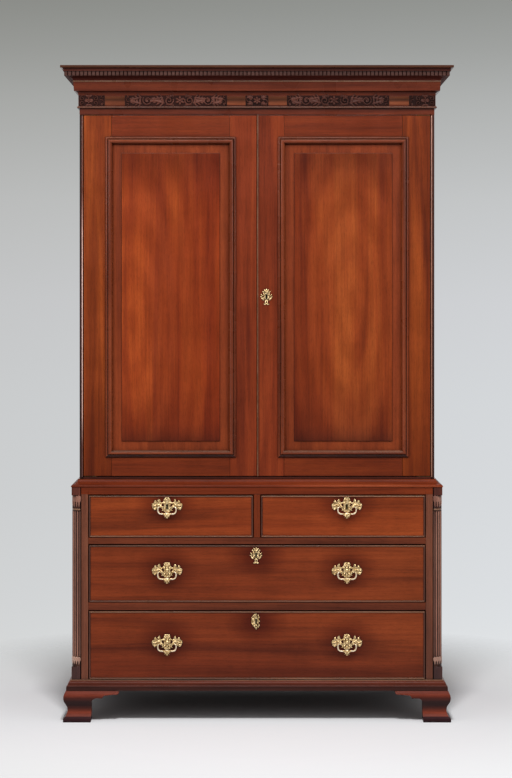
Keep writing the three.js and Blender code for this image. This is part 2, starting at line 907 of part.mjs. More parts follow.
// A mirrored outline from shares of half width, rise and fall
function cartouche(shares, halfWidth, rise, fall) {
  const right = shares.map(([across, up]) => [across * halfWidth, up * (up > 0 ? rise : fall)]);
  const left = right.slice(1, -1).reverse().map(([across, up]) => [-across, up]);
  return outline([...right, ...left]);
}

function postOnPlate(x) {
  const axisOut = postLength;
  const throat = Math.sqrt(postBallRadius ** 2 - postNeckRadius ** 2);
  const points = [
    [0, plateThickness / 2],
    [postFootRadius, plateThickness / 2],
    [postFootRadius, plateThickness + postFootHeight / 2],
    [postNeckRadius, plateThickness + postFootHeight],
    [postNeckRadius, axisOut - throat],
    [postBallRadius, axisOut],
    [postNeckRadius, axisOut + throat],
    [0, axisOut + postBallRadius],
  ].map(([radius, out]) => new THREE.Vector2(radius, out));
  const post = new THREE.LatheGeometry(points, postSides);
  return moved(post, (across, out, up) => [x + across, -out, up]);
}

function pivotBore() {
  const length = postSpacing + (postBallRadius + overrun) * 2;
  const radius = pinRadius + pinClearance;
  const bore = new THREE.CylinderGeometry(radius, radius, length, boreSides);
  return moved(bore, (across, out, up) => [out, across - postLength, up]);
}

// The plate with its two posts, seen from the front with the posts' pivot at height zero
function handlePlate(withKeyhole) {
  const shape = cartouche(plateShares, plateHalfWidth, plateRise, plateFall);
  [1, -1].forEach((side) => {
    const slot = slotShares.map(([across, up]) => new THREE.Vector2(
      side * across * plateHalfWidth,
      up * (up > 0 ? plateRise : plateFall),
    ));
    shape.holes.push(new THREE.Path(slot));
  });
  if (withKeyhole) {
    shape.holes.push(keyhole());
  }
  const plate = prism(shape, 'y', [-plateThickness, 0]);
  const half = postSpacing / 2;
  return cut(joined(plate, postOnPlate(-half), postOnPlate(half)), pivotBore());
}

// The swan neck bail hangs in the plane of its pivot, with a leaf at the middle
function handleBail() {
  const half = postSpacing / 2;
  const neck = half + postBallRadius;
  const side = [
    [half - postBallRadius, 0],
    [neck, 0],
    ...bailShares.map(([across, up]) => [across * bailHalfWidth, up * bailDrop]),
  ];
  const rightToLeft = [
    ...side,
    ...side.slice(0, -1).reverse().map(([across, up]) => [-across, up]),
  ];
  const curve = new THREE.CatmullRomCurve3(
    rightToLeft.map(([across, up]) => new THREE.Vector3(across, 0, up)),
    false,
    'centripetal',
  );
  const rings = Array.from({ length: bailStepCount + 1 }, (unused, step) => {
    const share = step / bailStepCount;
    const point = curve.getPointAt(share);
    const tangent = curve.getTangentAt(share);
    const fromPost = Math.abs(point.x) - neck;
    const onPin = point.z > -pinRadius && fromPost < bailRadius;
    const radius = onPin ? pinRadius : bailRadius;
    return Array.from({ length: bailSides }, (alsoUnused, corner) => {
      const turn = (corner / bailSides) * Math.PI * 2;
      const sideways = radius * Math.cos(turn);
      return [
        point.x - tangent.z * sideways,
        point.y + radius * Math.sin(turn),
        point.z + tangent.x * sideways,
      ];
    });
  });
  const wire = loft(rings, fanCap(bailSides), false);
  const leafSide = leafShares.map(([across, down]) => [across * leafHalfWidth, -down * leafFall]);
  const leaf = prism(outline([
    ...leafSide,
    [0, -leafFall],
    ...leafSide.slice().reverse().map(([across, up]) => [-across, up]),
  ]), 'y', [-leafThickness / 2, leafThickness / 2]);
  return moved(joined(wire, leaf), (x, y, z) => [x, y - postLength, z]);
}

function escutcheon(x, frontY, height) {
  const shape = cartouche(escutcheonShares, escutcheonHalfWidth, escutcheonRise, escutcheonFall);
  shape.holes.push(keyhole());
  const plate = prism(shape, 'y', [frontY - fit - plateThickness, frontY - fit]);
  return moved(plate, (across, y, up) => [across + x, y, up + height]);
}

function makeDrawerBrass() {
  Object.entries(openings).forEach(([name, { across, height, drop }]) => {
    const short = name.startsWith('short');
    const pivot = height[1] - drop;
    const sides = short ? [['', Math.sign(across[0] + across[1])]] : [['_left', -1], ['_right', 1]];
    sides.forEach(([suffix, side]) => {
      const hang = (x, y, z) => [x + side * handleOffset, y + baseFrontY - fit, z + pivot];
      add(`${name}_plate${suffix}`, moved(handlePlate(short), hang), brass);
      add(`${name}_bail${suffix}`, moved(handleBail(), hang), brass);
    });
  });
  add('middle_escutcheon', escutcheon(0, baseFrontY, middleOpeningTop - middleEscutcheonDrop), brass);
  add('bottom_escutcheon', escutcheon(0, baseFrontY, bottomOpeningTop - bottomEscutcheonDrop), brass);
}

// Upper case

function trayFoot(tray) {
  return bottomBoardTop + trayPitch * (tray + 1);
}

function makeUpperSides() {
  const round = sideBead / 2;
  const shape = new THREE.Shape();
  shape.moveTo(upperInner, backY);
  shape.lineTo(upperInner, upperFrontY + rebateDepth);
  shape.lineTo(rebateInner, upperFrontY + rebateDepth);
  shape.lineTo(rebateInner, upperFrontY + round);
  shape.absarc(upperHalf - round, upperFrontY + round, round, Math.PI, Math.PI * 2, false);
  shape.lineTo(upperHalf, backY);
  const board = prism(shape, 'z', [baseTop + fit, upperTop - fit]);
  const runners = trayNames.map((trayName, tray) => block(
    [upperInner - runnerReach, upperInner + bite],
    [upperFrontY + traySetback, backY - backBoard - fit],
    [trayFoot(tray) - fit - runnerHeight, trayFoot(tray) - fit],
  ));
  const side = joined(board, ...runners);
  add('upper_side_left', mirrored(side), mahogany);
  add('upper_side_right', side, mahogany);
}

function makeUpperBoards() {
  const rearY = backY - backBoard - fit;
  const inner = upperInner - fit;
  const outer = rebateInner - fit;
  const stopY = upperFrontY + rebateDepth;
  const bottom = prism(outline([
    [-outer, upperFrontY],
    [outer, upperFrontY],
    [outer, stopY - fit],
    [inner, stopY - fit],
    [inner, rearY],
    [-inner, rearY],
    [-inner, stopY - fit],
    [-outer, stopY - fit],
  ]), 'z', [bottomBoardTop - bottomBoard, bottomBoardTop]);
  const strip = block(
    [-outer, outer],
    [upperFrontY, upperFrontY + plinthStrip],
    [baseTop + fit, bottomBoardTop - bite],
  );
  add('upper_bottom_board', joined(bottom, strip), mahogany);
  const top = block([-inner, inner], [stopY, rearY], [upperTop - topBoard, upperTop - fit]);
  add('upper_top_board', top, poplar);
}

function makeTrays() {
  const half = upperInner - trayGap;
  const frontY = upperFrontY + traySetback;
  const rearY = backY - backBoard - trayRearGap;
  trayNames.forEach((trayName, tray) => {
    const foot = trayFoot(tray);
    const side = outline([
      [frontY, foot],
      [rearY, foot],
      [rearY, foot + trayHeight],
      [frontY + traySweep, foot + trayHeight],
      ...quarter([frontY + traySweep, foot + trayHeight], [frontY, foot + trayFrontHeight], true),
    ]);
    add(`linen_tray_${trayName}`, joined(
      block([-half, half], [frontY, rearY], [foot, foot + trayBottom]),
      prism(side, 'x', [-half, -half + trayWall]),
      prism(side, 'x', [half - trayWall, half]),
      block([-half, half], [frontY, frontY + trayWall], [foot, foot + trayFrontHeight]),
      block([-half, half], [rearY - trayWall, rearY], [foot, foot + trayHeight]),
    ), oak);
  });
}

// Doors, built as the right one and mirrored for the left

const sight = {
  left: doorMeeting + meetingStileWidth,
  right: doorOuter - outerStileWidth,
  foot: doorFoot + bottomRailWidth,
  top: doorTop - topRailWidth,
};

function doorFrame() {
  const slab = block(
    [doorMeeting, doorOuter],
    [upperFrontY, upperFrontY + doorThickness],
    [doorFoot, doorTop],
  );
  const hole = block(
    [sight.left, sight.right],
    [upperFrontY - overrun, upperFrontY + doorThickness + overrun],
    [sight.foot, sight.top],
  );
  const grooveFront = upperFrontY + panelTongueSetback - fit;
  const groove = block(
    [sight.left - panelGrooveDepth, sight.right + panelGrooveDepth],
    [grooveFront, grooveFront + panelTongue + fit + fit],
    [sight.foot - panelGrooveDepth, sight.top + panelGrooveDepth],
  );
  return cut(slab, hole, groove, ...pivotPockets('lower'), ...pivotPockets('upper'));
}

// Half round bead along the meeting edge
function meetingBead() {
  const round = meetingBeadWidth / 2;
  const shape = new THREE.Shape();
  shape.moveTo(doorMeeting, upperFrontY + bite);
  shape.lineTo(doorMeeting, upperFrontY);
  shape.absellipse(doorMeeting + round, upperFrontY, round, meetingBeadProud, Math.PI, Math.PI * 2, false);
  shape.lineTo(doorMeeting + meetingBeadWidth, upperFrontY + bite);
  return prism(shape, 'z', [doorFoot, doorTop]);
}

function rectangleRing([x0, x1], [z0, z1], y) {
  return [[x0, y, z0], [x1, y, z0], [x1, y, z1], [x0, y, z1]];
}

function doorPanel() {
  const tongueFront = upperFrontY + panelTongueSetback;
  const field = upperFrontY + panelFieldSetback;
  const reach = panelTongueReach;
  const visible = mouldingWidth - mouldingLap;
  const bevel = visible + panelBevelWidth;
  const tongue = block(
    [sight.left - reach, sight.right + reach],
    [tongueFront, tongueFront + panelTongue],
    [sight.foot - reach, sight.top + reach],
  );
  const inset = (distance, y) => rectangleRing(
    [sight.left + distance, sight.right - distance],
    [sight.foot + distance, sight.top - distance],
    y,
  );
  const rings = [
    inset(fit, tongueFront + bite),
    inset(fit, field + panelFieldStep + panelBevelFall),
    inset(bevel, field + panelFieldStep),
    inset(bevel, field),
  ];
  return joined(tongue, loft(rings, fanCap(rings[0].length), false));
}

// The bolection moulding lies on the frame and drops over its edge on to the panel
function doorMoulding() {
  const margin = mouldingLap;
  const outerX = [sight.left - margin, sight.right + margin];
  const outerZ = [sight.foot - margin, sight.top + margin];
  const face = upperFrontY - fit;
  const panelFace = upperFrontY + panelFieldSetback + panelFieldStep + panelBevelFall - fit - fit;
  const crest = mouldingWidth * mouldingCrestShare;
  const profile = [
    [0, face],
    [0, face - mouldingOuterFillet],
    ...quarter([0, face - mouldingOuterFillet], [crest, face - mouldingProud], false),
    ...quarter([crest, face - mouldingProud], [mouldingWidth, face - mouldingInnerProud], true),
    [mouldingWidth, panelFace - panelBevelFall],
    [margin + fit, panelFace - panelBevelFall],
    [margin + fit, face],
  ];
  const stations = [
    (inset) => [outerX[0] + inset, outerZ[0] + inset],
    (inset) => [outerX[1] - inset, outerZ[0] + inset],
    (inset) => [outerX[1] - inset, outerZ[1] - inset],
    (inset) => [outerX[0] + inset, outerZ[1] - inset],
  ];
  const rings = stations.map((station) => profile.map(([inset, y]) => {
    const [x, z] = station(inset);
    return [x, y, z];
  }));
  return loft(rings, [], true);
}

function makeDoors() {
  add('right_door_frame', joined(doorFrame(), meetingBead()), mahogany);
  add('left_door_frame', mirrored(doorFrame()), mahogany);
  add('right_door_panel', doorPanel(), figured);
  add('left_door_panel', mirrored(doorPanel()), figured);
  add('right_door_moulding', doorMoulding(), mahogany);
  add('left_door_moulding', mirrored(doorMoulding()), mahogany);
  add('door_escutcheon', escutcheon(doorEscutcheonOffset, upperFrontY, doorEscutcheonHeight), brass);
}

// Hinges, built for the right door: plates on and under the door, and a pin between them

function upright(radius, [foot, top]) {
  const cylinder = new THREE.CylinderGeometry(radius, radius, top - foot, pivotSides);
  return moved(cylinder, (x, y, z) => [x + pivotX, z + pivotY, y + (foot + top) / 2]);
}

// A stretch of heights, counted from the board under the door upwards or from the cornice downwards
function pivotSpan(level, near, far) {
  const [from, way] = level === 'lower' ? [bottomBoardTop, 1] : [upperTop, -1];
  return [from + way * near, from + way * far].sort((first, second) => first - second);
}

function pivotPlate(spare, heights) {
  return block(
    [pivotX - pivotPlateLength - spare, pivotX + pivotPlateNose + spare],
    [upperFrontY + pivotPlateEdge - spare, upperFrontY + pivotPlateEdge + pivotPlateWidth + spare],
    heights,
  );
}

function pivotPockets(level) {
  const plateDepth = doorEdgeGap + pivotPlateThickness + fit;
  const pinDepth = doorEdgeGap + pivotPinLength + fit;
  return [
    pivotPlate(fit, pivotSpan(level, 0, plateDepth)),
    upright(pivotPinRadius + fit, pivotSpan(level, 0, pinDepth)),
  ];
}

function pivotPieces(level) {
  const pin = upright(pivotPinRadius, pivotSpan(level, fit, doorEdgeGap + pivotPinLength));
  const socket = pivotPlate(0, pivotSpan(level, doorEdgeGap, doorEdgeGap + pivotPlateThickness));
  const hole = upright(pivotPinRadius + fit, pivotSpan(level, 0, doorEdgeGap + pivotPinLength));
  return {
    pin: joined(pivotPlate(0, pivotSpan(level, fit, doorEdgeGap - fit)), pin),
    socket: cut(socket, hole),
  };
}

function makePivots() {
  ['lower', 'upper'].forEach((level) => {
    Object.entries(pivotPieces(level)).forEach(([piece, geometry]) => {
      add(`right_${level}_pivot_${piece}_plate`, geometry, brass);
      add(`left_${level}_pivot_${piece}_plate`, mirrored(geometry), brass);
    });
  });
}

makeCornice();
makeUpperSides();
makeUpperBoards();
makeTrays();
makeDoors();
makePivots();
makeWaistMoulding();
makeBaseSides();
makeCornerPosts();
makeQuarterColumns();
makeBaseBoards();
makeDivider();
makeBackboards();
makeBaseMoulding();
makeFrontFeet();
makeRearFeet();
makeDrawers();
makeDrawerBrass();

export default press;
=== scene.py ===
import json
import math
import bpy
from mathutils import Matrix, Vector


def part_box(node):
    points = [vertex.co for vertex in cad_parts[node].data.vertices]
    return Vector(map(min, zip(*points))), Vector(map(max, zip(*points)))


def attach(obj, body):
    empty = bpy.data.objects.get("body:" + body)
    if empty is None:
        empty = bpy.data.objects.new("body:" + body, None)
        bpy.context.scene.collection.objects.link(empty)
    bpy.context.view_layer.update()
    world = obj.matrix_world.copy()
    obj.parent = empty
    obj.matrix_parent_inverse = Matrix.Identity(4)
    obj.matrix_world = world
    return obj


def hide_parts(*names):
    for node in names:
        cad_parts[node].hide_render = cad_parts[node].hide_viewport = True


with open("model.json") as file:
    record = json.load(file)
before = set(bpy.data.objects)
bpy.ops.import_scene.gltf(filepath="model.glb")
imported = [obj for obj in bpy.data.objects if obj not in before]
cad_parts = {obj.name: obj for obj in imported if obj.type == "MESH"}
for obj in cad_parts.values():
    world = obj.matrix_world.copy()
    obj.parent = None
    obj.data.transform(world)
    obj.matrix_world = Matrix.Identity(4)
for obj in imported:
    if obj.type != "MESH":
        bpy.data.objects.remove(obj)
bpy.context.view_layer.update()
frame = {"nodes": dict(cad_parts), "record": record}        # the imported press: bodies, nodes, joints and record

bpy.context.scene.view_settings.view_transform = 'Standard'


# Small helpers for working by hand from a script

def clearSelection():
    if bpy.context.object and bpy.context.object.mode != 'OBJECT':
        bpy.ops.object.mode_set(mode='OBJECT')
    bpy.ops.object.select_all(action='DESELECT')


def focus(piece):
    clearSelection()
    piece.select_set(True)
    bpy.context.view_layer.objects.active = piece


def editAll(piece):
    focus(piece)
    bpy.ops.object.mode_set(mode='EDIT')
    bpy.ops.mesh.select_all(action='SELECT')


# Every face turned outward, then back to object mode
def closeUp():
    bpy.ops.mesh.select_all(action='SELECT')
    bpy.ops.mesh.normals_make_consistent(inside=False)
    bpy.ops.object.mode_set(mode='OBJECT')


def modify(piece, kind, **settings):
    focus(piece)
    modifier = piece.modifiers.new('step', kind)
    for setting, value in settings.items():
        setattr(modifier, setting, value)
    bpy.ops.object.modifier_apply(modifier='step')


def addObject(objectName, data):
    made = bpy.data.objects.new(objectName, data)
    bpy.context.scene.collection.objects.link(made)
    return made


def rename(piece, pieceName):
    piece.name = pieceName
    piece.data.name = pieceName
    return piece


def settle(piece, pieceName):
    focus(piece)
    bpy.ops.object.transform_apply(location=True, rotation=True, scale=True)
    return rename(piece, pieceName)


# Degrees between two faces from which their edge stays sharp
sharpest = {'eased': 32, 'moulded': 38, 'carved': 60}


def smooth(piece, kind):
    focus(piece)
    bpy.ops.object.shade_smooth_by_angle(angle=math.radians(sharpest[kind]))


def easeEdges(piece, width, steps=2):
    modify(piece, 'BEVEL', width=width, segments=steps, limit_method='ANGLE',
           angle_limit=math.radians(sharpest['eased']))
    smooth(piece, 'eased')
    modify(piece, 'WEIGHTED_NORMAL', keep_sharp=True, weight=80)
    return piece


def board(pieceName, low, high, edge):
    low, high = Vector(low), Vector(high)
    clearSelection()
    bpy.ops.mesh.primitive_cube_add(size=1, location=(low + high) / 2)
    piece = bpy.context.object
    piece.scale = high - low
    return easeEdges(settle(piece, pieceName), edge)


def roundBar(pieceName, at, length, look, tilt=0):
    clearSelection()
    bpy.ops.mesh.primitive_cylinder_add(vertices=look['sides'], radius=look['radius'], depth=length, location=at,
                                        rotation=(math.radians(tilt), 0, 0))
    return easeEdges(settle(bpy.context.object, pieceName), look['edge'])


# A frame run round an opening: an upright plane stepped in and out towards its middle, then hollowed and closed behind
def runFrame(pieceName, low, high, front, steps, depth):
    clearSelection()
    bpy.ops.mesh.primitive_plane_add(size=1, location=((low.x + high.x) / 2, front, (low.z + high.z) / 2),
                                     rotation=(math.radians(90), 0, 0))
    piece = bpy.context.object
    piece.scale = (high.x - low.x, high.z - low.z, 1)
    editAll(settle(piece, pieceName))
    for inward, outward in steps:
        bpy.ops.mesh.inset(thickness=inward, depth=outward)
    bpy.ops.mesh.delete(type='FACE')
    bpy.ops.mesh.select_all(action='SELECT')
    bpy.ops.mesh.extrude_region_move(TRANSFORM_OT_translate={'value': (0, depth, 0)})
    closeUp()
    return piece


def mirrorCopy(piece, pieceName):
    twin = addObject(pieceName, piece.data.copy())
    twin.scale.x = -1
    editAll(settle(twin, pieceName))
    closeUp()
    return twin


# A copy of a CAD solid with its loose triangles merged and its flat faces made whole
def copyNode(nodeName, pieceName):
    piece = addObject(pieceName, frame['nodes'][nodeName].data.copy())
    piece.data.materials.clear()
    editAll(piece)
    bpy.ops.mesh.remove_doubles(threshold=0.00002)
    bpy.ops.mesh.dissolve_limited(angle_limit=math.radians(0.6))
    bpy.ops.object.mode_set(mode='OBJECT')
    return piece


def bodyOf(nodeName):
    for body, nodes in frame['record']['behaviour']['bodies'].items():
        if nodeName in nodes:
            return body


def place(piece, finish, slotName, body, *nodes):
    piece.data.materials.clear()
    piece.data.materials.append(finish)
    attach(piece, body)
    if nodes:
        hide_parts(*nodes)
    return piece


# A left piece of the case and its twin on the right, with the start of the name of the nodes that they replace
def placePair(piece, finish, slotName, *nodes):
    twin = mirrorCopy(piece, piece.name.replace('Left', 'Right'))
    for half, side in ((piece, 'left'), (twin, 'right')):
        place(half, finish, slotName, 'case', *(node + side for node in nodes))
    return piece, twin


# A CAD solid with its edges softened, standing for its own node
def dress(nodeName, finish, slotName, width, pieceName=None, steps=2):
    piece = easeEdges(copyNode(nodeName, pieceName or nodeName + '_finish'), width, steps)
    return place(piece, finish, slotName, bodyOf(nodeName), nodeName)


# More finishes for the faces that rules pick out, where the last rule wins
def paintFaces(piece, *paints):
    for finish, rule in paints:
        piece.data.materials.append(finish)
        index = len(piece.data.materials) - 1
        for face in piece.data.polygons:
            if rule(face.center, face.normal):
                face.material_index = index


def between(foot, head):
    return lambda centre, normal: foot < centre.z < head


# Carving and cast relief: squashed balls that a remesh melts into one form. A lobe is its place across and
# up, its half length and half width, its heading in degrees and how far it stands proud

# One ball, copied to each place at its turn and size, and joined
def gather(places, start=None):
    clearSelection()
    bpy.ops.mesh.primitive_uv_sphere_add(segments=12, ring_count=8, radius=1)
    ball = bpy.context.object
    copies = []
    for location, rotation, scale in places:
        copy = addObject('lobe', ball.data.copy())
        copy.location, copy.rotation_euler, copy.scale = location, rotation, scale
        copies.append(copy)
    bpy.data.objects.remove(ball)
    lead = start or copies[0]
    focus(lead)
    for copy in copies:
        copy.select_set(True)
    bpy.ops.object.join()
    bpy.ops.object.transform_apply(location=True, rotation=True, scale=True)
    return lead


def melt(piece, pieceName, look):
    modify(piece, 'REMESH', mode='VOXEL', voxel_size=look['grain'])
    modify(piece, 'SMOOTH', factor=0.5, iterations=2)
    modify(piece, 'DECIMATE', ratio=look['keep'])
    smooth(piece, 'carved')
    return rename(piece, pieceName)


def carve(pieceName, lobes, faceY, look, start=None):
    places = [((across, faceY, up), (0, -math.radians(heading), 0), (length, proud, width))
              for across, up, length, width, heading, proud in lobes]
    return melt(gather(places, start), pieceName, look)


def ahead(across, up, heading, length, share):
    turn = math.radians(heading)
    return across + math.cos(turn) * length * share, up + math.sin(turn) * length * share


# A leaf is a rib with fingers on both sides, which get shorter and close up towards its tip
leaf = {'rib': (0.52, 0.13), 'roots': (0.12, 0.36, 0.6, 0.8), 'spread': (62, 34), 'reach': (0.62, 0.36),
        'finger': (0.55, 0.6, 0.1), 'lower': 0.8}


def leafLobes(across, up, heading, length, width, proud):
    made = [(*ahead(across, up, heading, length, 0.5), length * leaf['rib'][0], width * leaf['rib'][1],
             heading, proud)]
    middle, half, thick = leaf['finger']
    for share in leaf['roots']:
        for way in (-1, 1):
            finger = heading + way * (leaf['spread'][0] - leaf['spread'][1] * share)
            reach = width * (leaf['reach'][0] - leaf['reach'][1] * share)
            root = ahead(across, up, heading, length, share)
            made.append((*ahead(*root, finger, reach, middle), reach * half, width * thick, finger,
                         proud * leaf['lower']))
    return made


# A scroll winds inward from where it begins and gets thinner
scroll = {'stepsPerTurn': 16, 'winding': 0.78, 'length': (1.3, 0.4), 'thinning': 0.3}


def scrollLobes(across, up, radius, turns, way, begin, thick, proud):
    made = []
    steps = int(scroll['stepsPerTurn'] * turns)
    for step in range(steps + 1):
        share = step / steps
        turn = math.radians(begin + way * 360 * turns * share)
        reach = radius * (1 - scroll['winding'] * share)
        made.append((across + math.cos(turn) * reach, up + math.sin(turn) * reach,
                     thick * (scroll['length'][0] - scroll['length'][1] * share),
                     thick * (1 - scroll['thinning'] * share), math.degrees(turn) + 90, proud))
    return made


flower = {'eye': 0.27, 'eyeProud': 1.25, 'petalAt': 0.62, 'petal': (0.4, 0.26)}


def flowerLobes(across, up, radius, petals, proud):
    made = [(across, up, radius * flower['eye'], radius * flower['eye'], 0, proud * flower['eyeProud'])]
    for petal in range(petals):
        heading = 90 + 360 * petal / petals
        made.append((*ahead(across, up, heading, radius, flower['petalAt']), radius * flower['petal'][0],
                     radius * flower['petal'][1], heading, proud))
    return made


# Rows of a relief moved to their place. A row with two headings is a pair, one lobe on each side of the middle
def lobesAt(rows, across, up):
    lobes = []
    for aside, rise, length, width, *headings, proud in rows:
        for way, heading in zip((1, -1), headings):
            lobes.append((across + way * aside, up + rise, length, width, heading, proud))
    return lobes


# Finishes. Colours are given as on the screen, 0 to 255, and a single number is a grey from 0 to 1

def linear(red, green, blue):
    def channel(value):
        share = value / 255
        return share / 12.92 if share <= 0.04045 else ((share + 0.055) / 1.055) ** 2.4
    return (channel(red), channel(green), channel(blue), 1)


def startTree(holder):
    holder.use_nodes = True
    holder.node_tree.nodes.clear()
    return holder.node_tree


def feed(tree, node, inputs):
    for socket, value in inputs.items():
        if isinstance(value, bpy.types.NodeSocket):
            tree.links.new(value, node.inputs[socket])
        else:
            node.inputs[socket].default_value = value
    return node


def addNode(tree, kind, inputs=None, **settings):
    made = tree.nodes.new(kind)
    for setting, value in settings.items():
        setattr(made, setting, value)
    return feed(tree, made, inputs or {})


def reckon(tree, operation, *values):
    return addNode(tree, 'ShaderNodeMath', dict(enumerate(values)), operation=operation).outputs['Value']


def part(tree, vector, axis):
    return addNode(tree, 'ShaderNodeSeparateXYZ', {'Vector': vector}).outputs[axis]


def ramp(tree, factor, stops):
    made = addNode(tree, 'ShaderNodeValToRGB', {'Fac': factor})
    band = made.color_ramp.elements
    while len(band) < len(stops):
        band.new(0.5)
    for element, (position, colour) in zip(band, stops):
        element.position = position
        element.color = linear(*colour) if isinstance(colour, tuple) else (colour, colour, colour, 1)
    return made.outputs['Color']


def mix(tree, blend, factor, first, second):
    made = addNode(tree, 'ShaderNodeMix', data_type='RGBA', blend_type=blend)
    return feed(tree, made, {0: factor, 6: first, 7: second}).outputs[2]


def tint(tree, colour, source, stops, amount=1.0):
    return mix(tree, 'MULTIPLY', amount, colour, ramp(tree, source, stops))


# Coordinates measured from a centre, and how far from it they are
def around(tree, coords, centre, scale):
    mapping = addNode(tree, 'ShaderNodeMapping', {
        'Vector': coords, 'Location': [-place * share for place, share in zip(centre, scale)], 'Scale': scale})
    far = addNode(tree, 'ShaderNodeVectorMath', {0: mapping.outputs['Vector']}, operation='LENGTH')
    return mapping.outputs['Vector'], far.outputs['Value']


def noise(tree, vector, scale, detail, roughness=0.5, distortion=0.0):
    return addNode(tree, 'ShaderNodeTexNoise', {
        'Vector': vector, 'Scale': scale, 'Detail': detail, 'Roughness': roughness, 'Distortion': distortion,
    }).outputs['Fac']


# Noise drawn out along the grain
def grainNoise(tree, coords, look, squeeze, scale, detail, roughness=0.55, distortion=0.0):
    spread = {'X': (squeeze, 1, 1), 'Y': (1, squeeze, 1), 'Z': (1, 1, squeeze)}[look['along']]
    mapping = addNode(tree, 'ShaderNodeMapping', {'Vector': coords, 'Location': look['offset'], 'Scale': spread})
    return noise(tree, mapping.outputs['Vector'], scale, detail, roughness, distortion)


# Ambient occlusion, darker in hollows, crevices and where parts meet: in the wood it gives dirt and painted shade, in
# the brass the dark of its hollows
def soilAndShade(tree, reach):
    return addNode(tree, 'ShaderNodeAmbientOcclusion', {'Distance': reach}, samples=6).outputs['AO']


def addSurface(tree, height, strength, sockets):
    bump = addNode(tree, 'ShaderNodeBump', {'Height': height, 'Strength': strength, 'Distance': 0.0004})
    shader = addNode(tree, 'ShaderNodeBsdfPrincipled', {'Normal': bump.outputs['Normal'], **sockets})
    addNode(tree, 'ShaderNodeOutputMaterial', {'Surface': shader.outputs['BSDF']})


mahogany = {
    'bandScale': 22, 'streakScale': 170, 'streakAmount': 0.35, 'mottle': 0.3, 'pores': 0.3, 'grime': 0.8,
    'gloss': 0.36, 'shine': 0.12, 'riseTop': 2.2, 'acrossScale': 0.714,
}


# A wood: along which axis its grain runs, where its pattern starts, its dark, middle and light tones, and
# what else differs from the mahogany above. A drift tints it from left to right and a rise upward, to riseTop
def wood(finishName, along, offset, dark, mid, light, **changes):
    look = {**mahogany, 'along': along, 'offset': offset, **changes}
    material = bpy.data.materials.new(finishName)
    tree = startTree(material)
    coords = addNode(tree, 'ShaderNodeTexCoord').outputs['Object']
    bands = grainNoise(tree, coords, look, 0.05, look['bandScale'], 4, distortion=0.6)
    colour = ramp(tree, bands, [(0.3, dark), (0.5, mid), (0.72, light)])
    if 'rings' in look:
        rings = look['rings']
        vector, far = around(tree, coords, rings['centre'], rings['scale'])
        wave = addNode(tree, 'ShaderNodeTexWave', {
            'Vector': vector, 'Scale': rings['count'], 'Distortion': rings['bend'], 'Detail': 3, 'Detail Scale': 1.4,
        }, wave_type='RINGS', rings_direction='SPHERICAL', wave_profile='SIN')
        colour = tint(tree, colour, wave.outputs['Fac'], [(0.15, rings['low']), (0.85, 1.0)], rings['amount'])
        colour = tint(tree, colour, far, [(0.15, 1.0), (0.85, rings['rim'])])
    if 'drift' in look:
        across = reckon(tree, 'MULTIPLY_ADD', part(tree, coords, 'X'), look['acrossScale'], 0.5)
        colour = tint(tree, colour, across, look['drift'])
    if 'rise' in look:
        colour = tint(tree, colour, reckon(tree, 'DIVIDE', part(tree, coords, 'Z'), look['riseTop']), look['rise'])
    if 'stains' in look:
        nearest = None
        for across, up in look['stains']:
            far = around(tree, coords, (across, 0, up), (1, 0, 1.3))[1]
            nearest = reckon(tree, 'MINIMUM', nearest, far) if nearest else far
        colour = tint(tree, colour, nearest, [(0.03, (176, 150, 150)), (0.11, 1.0)])
    streaks = grainNoise(tree, coords, look, 0.02, look['streakScale'], 3, 0.6)
    colour = tint(tree, colour, streaks, [(0.36, 0.5), (0.56, 1.0)], look['streakAmount'])
    mottle = grainNoise(tree, coords, look, 1.6, 7, 2)
    colour = tint(tree, colour, mottle, [(0.35, 0.62), (0.6, 1.0)], look['mottle'])
    pores = ramp(tree, grainNoise(tree, coords, look, 0.05, 1100, 2, 0.7), [(0.36, 0.0), (0.46, 1.0)])
    colour = mix(tree, 'MULTIPLY', look['pores'], colour, pores)
    # Dirt and painted shade: the wood darkened in its hollows and crevices and where parts meet
    colour = tint(tree, colour, soilAndShade(tree, 0.012), [(0.45, (70, 40, 34)), (0.95, 1.0)], look['grime'])
    gloss = ramp(tree, mottle, [(0.3, look['gloss'] - 0.05), (0.7, look['gloss'] + 0.06)])
    addSurface(tree, pores, 0.12, {'Base Color': colour, 'Roughness': gloss, 'Specular IOR Level': look['shine']})
    return material


def makeBrass(finishName, **changes):
    look = {'bright': (250, 220, 168), 'dull': (172, 136, 84), 'dirt': (40, 24, 13), 'gloss': (0.2, 0.36),
            'clean': 0.93, 'grimy': 0.5, **changes}
    material = bpy.data.materials.new(finishName)
    tree = startTree(material)
    coords = addNode(tree, 'ShaderNodeTexCoord').outputs['Object']
    cloud = noise(tree, coords, 180, 3)
    colour = ramp(tree, cloud, [(0.35, look['dull']), (0.6, look['bright'])])
    worn = ramp(tree, soilAndShade(tree, 0.008), [(look['grimy'], 1.0), (look['clean'], 0.0)])
    colour = mix(tree, 'MIX', worn, colour, linear(*look['dirt']))
    gloss = ramp(tree, cloud, [(0.35, look['gloss'][1]), (0.65, look['gloss'][0])])
    addSurface(tree, noise(tree, coords, 900, 2), 0.1, {'Base Color': colour, 'Metallic': 1.0, 'Roughness': gloss})
    return material


sideGrain = wood('mahoganyCaseSides', 'Z', (3.1, 0.4, 0.2), (86, 33, 15), (116, 48, 22), (148, 68, 26))
stileGrain = wood('mahoganyStiles', 'Z', (0.7, 0, 0.9), (92, 34, 13), (126, 53, 20), (148, 68, 26),
                  rise=[(0.37, (214, 205, 205)), (0.52, 1.0)])
meetingStileGrain = wood('mahoganyMeetingStiles', 'Z', (2.9, 0, 3.9), (94, 34, 16), (124, 49, 23), (142, 61, 29))
railGrain = wood('mahoganyRails', 'X', (0.3, 2.2, 1.7), (80, 30, 13), (110, 43, 19), (128, 54, 24))

